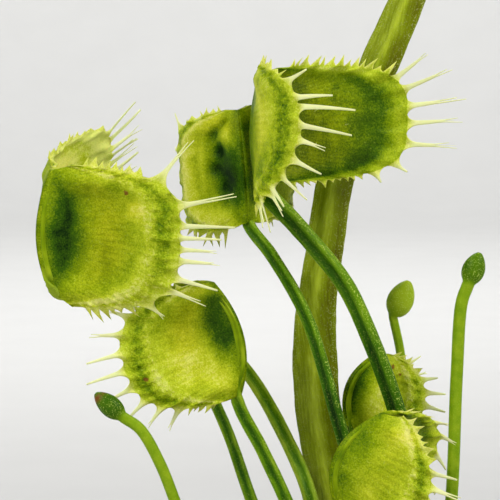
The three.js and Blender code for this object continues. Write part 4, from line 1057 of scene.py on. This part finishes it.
def build_young(name, material, stalk, tip, width, head, rust, tone):
    """A slim stalk that swells into a closed head, its two lobes pressed along a seam."""
    line, _ = stem_line(stalk, [], YOUNG_STEP)
    stem = stem_rings(line, (0.2, -1, 0.2), np.cos(TURN)[None] * width / 2,
                      (np.sin(TURN) * (1 - 0.18 * CHANNEL))[None] * width / 2)
    neck = line[-1]
    axis = np.array(tip, float) - neck
    head_across = unit(np.cross((0, 1, 0), unit(axis)))
    head_front = np.cross(unit(axis), head_across)
    parts = np.concatenate([[0.06, 0.11], np.linspace(0.16, 0.96, 18), [0.985]])[:, None]
    swell = np.maximum(np.sin(math.pi * parts ** 0.85), 0) ** 0.6
    turned = TURN + math.pi
    seam = 1 - 0.09 * bump(np.abs(np.sin(turned - 0.5)), 0, 0.12) * bump(parts, 0.75, 0.4)
    half_x, half_y = (np.maximum(np.maximum(swell, 0.06) / 2,
                                 np.where(parts < 0.12, width / 2 / size, 0)) * size
                      for size in head)
    bulb = (neck + parts[..., None] * axis
            + (np.cos(turned) * half_x * seam)[..., None] * head_across
            + (np.sin(turned) * half_y * seam)[..., None] * head_front)

    # the head's rings start beside the stalk's first side and run the same way round
    bulb = np.roll(bulb, -int(np.argmin(np.linalg.norm(bulb[0] - stem[-1][0], axis=1))), axis=1)
    bulb = min(bulb, np.roll(bulb[:, ::-1], 1, axis=1),
               key=lambda rings: np.linalg.norm(rings[0] - stem[-1], axis=1).sum())
    on_head = np.concatenate([np.zeros(len(line)), parts[:, 0]])[:, None]
    shade = 0.56 + (tone - 0.16) * smooth(on_head / 0.25) + 0.12 * smooth((on_head - 0.8) / 0.2)
    shell = Shell("shade", "edge", "rust")
    shell.tube(np.concatenate([stem, bulb]), shade=shade + 0.08 * np.sin(TURN),
               edge=np.maximum(0.25, smooth(on_head / 0.2)),
               rust=rust * smooth((on_head - 0.72) / 0.16))
    make_piece(f"{name}_leaf", shell, material, f"leaf_{name}")


# ---- rhizome, soil and pot

def lathed(profile, sides):
    """A profile of (radius, z) rows turned about Z."""
    radius, z = np.array(profile, float).T[..., None]
    turn = turns(sides)
    return np.stack([radius * np.cos(turn), radius * np.sin(turn), z * np.ones(sides)], axis=-1)


def bevelled(corners, reach, steps):
    """A profile with each inner corner rounded off within the given reach."""
    corners = [np.array(corner, float) for corner in corners]
    out = [corners[0]]
    for before, here, after in zip(corners, corners[1:], corners[2:]):
        back, ahead = (here + unit(to - here) * min(reach, np.linalg.norm(to - here) * 0.45)
                       for to in (before, after))
        for t in np.linspace(0, 1, steps + 1):
            out.append((1 - t) ** 2 * back + 2 * t * (1 - t) * here + t * t * ahead)
    return [*out, corners[-1]]


def wall_radius(z):
    """The pot's outer radius below its rim."""
    return POT_BASE + (POT_TOP - RIM_OUT - POT_BASE) * z / POT_HEIGHT


def build_pot(material):
    profile = bevelled([
        (AXIS, 0), (POT_BASE, 0), (wall_radius(LEDGE), LEDGE), (POT_TOP - 0.4, LEDGE + 0.3),
        (POT_TOP, POT_HEIGHT), (POT_TOP - RIM_OUT - WALL + MOUTH_OUT, POT_HEIGHT),
        (wall_radius(LEDGE) - WALL, LEDGE - 2), (wall_radius(POT_FLOOR) - WALL, POT_FLOOR),
        (AXIS, POT_FLOOR),
    ], reach=0.9, steps=4)
    rows = []
    for here, after in zip(profile, profile[1:]):
        pieces = max(1, int(np.linalg.norm(after - here) // 4))
        rows.extend(here + (after - here) * k / pieces for k in range(pieces))
    rows = np.array([*rows, profile[-1]])
    shell = Shell("dust")
    shell.tube(lathed(rows, POT_SIDES), dust=np.clip(1.2 - rows[:, 1:] / 50, 0.15, 1))
    pot = make_piece("nursery_pot", shell, material, "pot")
    for number, angle in enumerate(turns(DRAINS)):
        bpy.ops.mesh.primitive_cylinder_add(
            vertices=48, radius=DRAIN_RADIUS * MM, depth=POT_FLOOR * 4 * MM,
            location=(math.cos(angle) * DRAIN_CIRCLE * MM, math.sin(angle) * DRAIN_CIRCLE * MM, 0))
        cut = pot.modifiers.new(f"drain_{number}", "BOOLEAN")
        cut.operation, cut.solver, cut.object = "DIFFERENCE", "EXACT", bpy.context.object
    graph = bpy.context.evaluated_depsgraph_get()
    finished = bpy.data.meshes.new_from_object(pot.evaluated_get(graph))
    for cutter in [cut.object for cut in pot.modifiers]:
        bpy.data.objects.remove(cutter)
    pot.modifiers.clear()
    pot.data = finished
    pot.modifiers.new("crisp", "EDGE_SPLIT").split_angle = math.radians(40)


def soil_height(x, y):
    """The soil's surface above its level: a low mound with lumps."""
    lumps = np.sin(x * 1.7 + 2.3) * np.cos(y * 1.3 - 0.8) + np.sin(x * 0.6 - y * 0.9)
    fine = np.sin(x * 4.1 + 3 * np.sin(y * 1.9)) * np.sin(y * 3.7 + 2 * np.sin(x * 2.3))
    return mound(np.hypot(x, y)) + LUMPS * lumps + FINE_LUMPS * fine


def build_soil(material):
    low = POT_FLOOR + GAP
    edge = POT_TOP - RIM_OUT - WALL + MOUTH_OUT - GAP - 1.4
    sides = [(AXIS, low), (wall_radius(low) - WALL - GAP, low),
             (wall_radius(LEDGE - 2) - WALL - GAP - 0.1, LEDGE - 2), (edge, SOIL_LEVEL)]
    surface = [(radius, 0) for radius in np.linspace(edge - 0.5, 0.2, 70)]
    points = lathed([*sides, *surface], SOIL_SIDES)
    top = points[len(sides):]
    top[..., 2] = SOIL_LEVEL + soil_height(top[..., 0], top[..., 1])
    shell = Shell()
    shell.tube(points)
    make_piece("peat_soil", shell, material, "soil")


def build_crumbs(material):
    """Crumbs of peat, grains of perlite and tufts of moss, half sunk in the soil's surface."""
    draw = generator("crumbs")
    ball = bmesh.new()
    bmesh.ops.create_icosphere(ball, subdivisions=2, radius=1)
    unit_points = np.array([vertex.co for vertex in ball.verts])
    unit_faces = [[vertex.index for vertex in face.verts] for face in ball.faces]
    ball.free()
    shell = Shell("white", "moss")
    for _ in range(CRUMBS):
        radius = (POT_TOP - RIM_OUT - WALL - 2.2) * math.sqrt(draw.uniform(0, 1))
        angle = draw.uniform(0, 2 * math.pi)
        x, y = radius * math.cos(angle), radius * math.sin(angle)
        kind = draw.uniform(0, 1)
        size = draw.uniform(0.3, 1.0) ** 2 * 1.25 + 0.15
        stretch = draw.uniform(0.6, 1.3, 3) * (1, 1, 0.7)
        rough = 1 + 0.22 * np.sin(unit_points @ draw.uniform(-5, 5, 3) + draw.uniform(0, 6))
        turn = draw.uniform(0, math.pi)
        spin = np.array([[math.cos(turn), -math.sin(turn), 0],
                         [math.sin(turn), math.cos(turn), 0], [0, 0, 1]])
        points = (unit_points * rough[:, None] * size * stretch) @ spin.T
        points = points + (x, y, SOIL_LEVEL + soil_height(x, y) + 0.15 * size)
        start = shell.count
        shell.add(points, white=float(kind > 1 - PERLITE), moss=float(kind < MOSS))
        shell.faces.extend([[start + corner for corner in face] for face in unit_faces])
    make_piece("soil_crumbs", shell, material, "soil")


def build_rhizome(material):
    wide, top, depth = RHIZOME_RADIUS, RHIZOME_TOP, RHIZOME_DEPTH
    profile = bevelled([
        (AXIS, -depth), (wide * 0.55, -depth), (wide * 0.9, -depth * 0.7), (wide, -depth * 0.3),
        (wide * 0.94, 0.4), (wide * 0.6, top * 0.8), (AXIS, top),
    ], reach=1.5, steps=6)
    points = lathed(profile, RHIZOME_SIDES) + (0, 0, SOIL_LEVEL + SOIL_MOUND)
    angle = np.arctan2(points[..., 1], points[..., 0])
    points[..., :2] *= 1 + 0.05 * np.sin(5 * angle + points[..., 2] * 1.4)[..., None]
    shell = Shell()
    shell.tube(points)
    make_piece("rhizome_stock", shell, material, "rhizome")


# ---- the stage

CAMERA = dict(place=(-15.75, -418.4, 190.8), tilt=85, lens=201.6)
AIM = (-14, 0, 150)
LIGHTS = dict(  # place, power and colour of each light on the plant
    key_light=((-900, -850, 1150), 13.8, (1, 0.98, 0.94)),
    right_light=((1000, -600, 1100), 12.8, (1, 0.99, 0.96)),
    back_light=((-350, 900, 1100), 5.5, (1, 1, 1)),
)
FLOOR_FLAT = 2000  # radius of the flat floor, before it curves up all round
FLOOR_CURVE = 700
FLOOR_DEPTH = 60
BACKDROP_FROM, BACKDROP_AIM = (1200, 1300), (2600, 450)  # lights' and aims' places, out and up
LIGHT_SIZE, BACKDROP_SIZE, BACKDROP_POWER = 600, 1100, 24
WORLD_STRENGTH = 0.2


def build_floor():
    wall = FLOOR_FLAT + FLOOR_CURVE
    profile = [(AXIS, -FLOOR_DEPTH), (wall + FLOOR_DEPTH, -FLOOR_DEPTH),
               (wall + FLOOR_DEPTH, FLOOR_CURVE), (wall, FLOOR_CURVE)]
    profile += [(FLOOR_FLAT + FLOOR_CURVE * math.sin(a), FLOOR_CURVE * (1 - math.cos(a)))
                for a in np.linspace(0, math.pi / 2, 16)[-2::-1]]
    profile += [(radius, 0) for radius in (1200, 600, 200, AXIS)]
    shell = Shell()
    shell.tube(lathed(profile, FLOOR_SIDES))
    floor = show("floor", shell.mesh("floor"))
    floor.data.materials.append(floor_material())


def add_light(name, place, aim, size, power, colour=(1, 1, 1)):
    data = bpy.data.lights.new(name, "AREA")
    data.shape = "DISK"
    data.size = size * MM
    data.energy = power
    data.color = colour
    light = show(name, data)
    here, aim = (np.array(p, float) * MM for p in (place, aim))
    light.location = here
    light.rotation_mode = "QUATERNION"
    light.rotation_quaternion = Vector(aim - here).to_track_quat("-Z", "Y")
    light.visible_camera = False


def build_stage():
    build_floor()
    for name, (place, power, colour) in LIGHTS.items():
        add_light(name, place, AIM, LIGHT_SIZE, power, colour)
    for number, (x, y) in enumerate(((0, 1), (1, 0), (0, -1), (-1, 0))):
        place, aim = ((out * x, out * y, up) for out, up in (BACKDROP_FROM, BACKDROP_AIM))
        add_light(f"backdrop_light_{number}", place, aim, BACKDROP_SIZE, BACKDROP_POWER)
    world = bpy.data.worlds.new("soft_world")
    bpy.context.scene.world = world
    world.use_nodes = True
    background = world.node_tree.nodes["Background"]
    background.inputs["Color"].default_value = (1, 1, 1, 1)
    background.inputs["Strength"].default_value = WORLD_STRENGTH

    data = bpy.data.cameras.new("camera")
    data.sensor_width = 36
    data.lens = CAMERA["lens"]
    data.clip_start = 0.02
    data.clip_end = 20
    camera = show("camera", data)
    camera.location = np.array(CAMERA["place"]) * MM
    camera.rotation_euler = (math.radians(CAMERA["tilt"]), 0, 0)
    bpy.context.scene.camera = camera
    bpy.context.scene.view_settings.view_transform = "Standard"


# ---- the plant, put together

def build_plant():
    green = petiole_material("petiole_skin", PETIOLE_GREENS, PALE, (0.5, 0.55, 0.25, 1))
    olive = petiole_material("tall_petiole_skin", TALL_GREENS, (0.5, 0.52, 0.2, 1),
                             (0.3, 0.16, 0.06, 1))
    young_skin = young_material()
    leaves = {**MATURE_LEAVES, **{name: low_leaf(*low) for name, low in LOW_LEAVES.items()}}
    trap_skin = trap_material([spot for leaf in leaves.values() for spot in leaf_blemishes(leaf)])
    for name, leaf in leaves.items():
        tall = name == "tall_back"
        build_petiole(name, leaf, olive if tall else green)
        build_trap(name, leaf, trap_skin)
    for name, numbers in YOUNG_LEAVES.items():
        build_young(name, young_skin, *numbers)
    build_rhizome(rhizome_material())
    build_soil(peat_material("peat", False))
    build_crumbs(peat_material("crumbs", True))
    build_pot(pot_material())


build_stage()
build_plant()

bpy.context.view_layer.update()
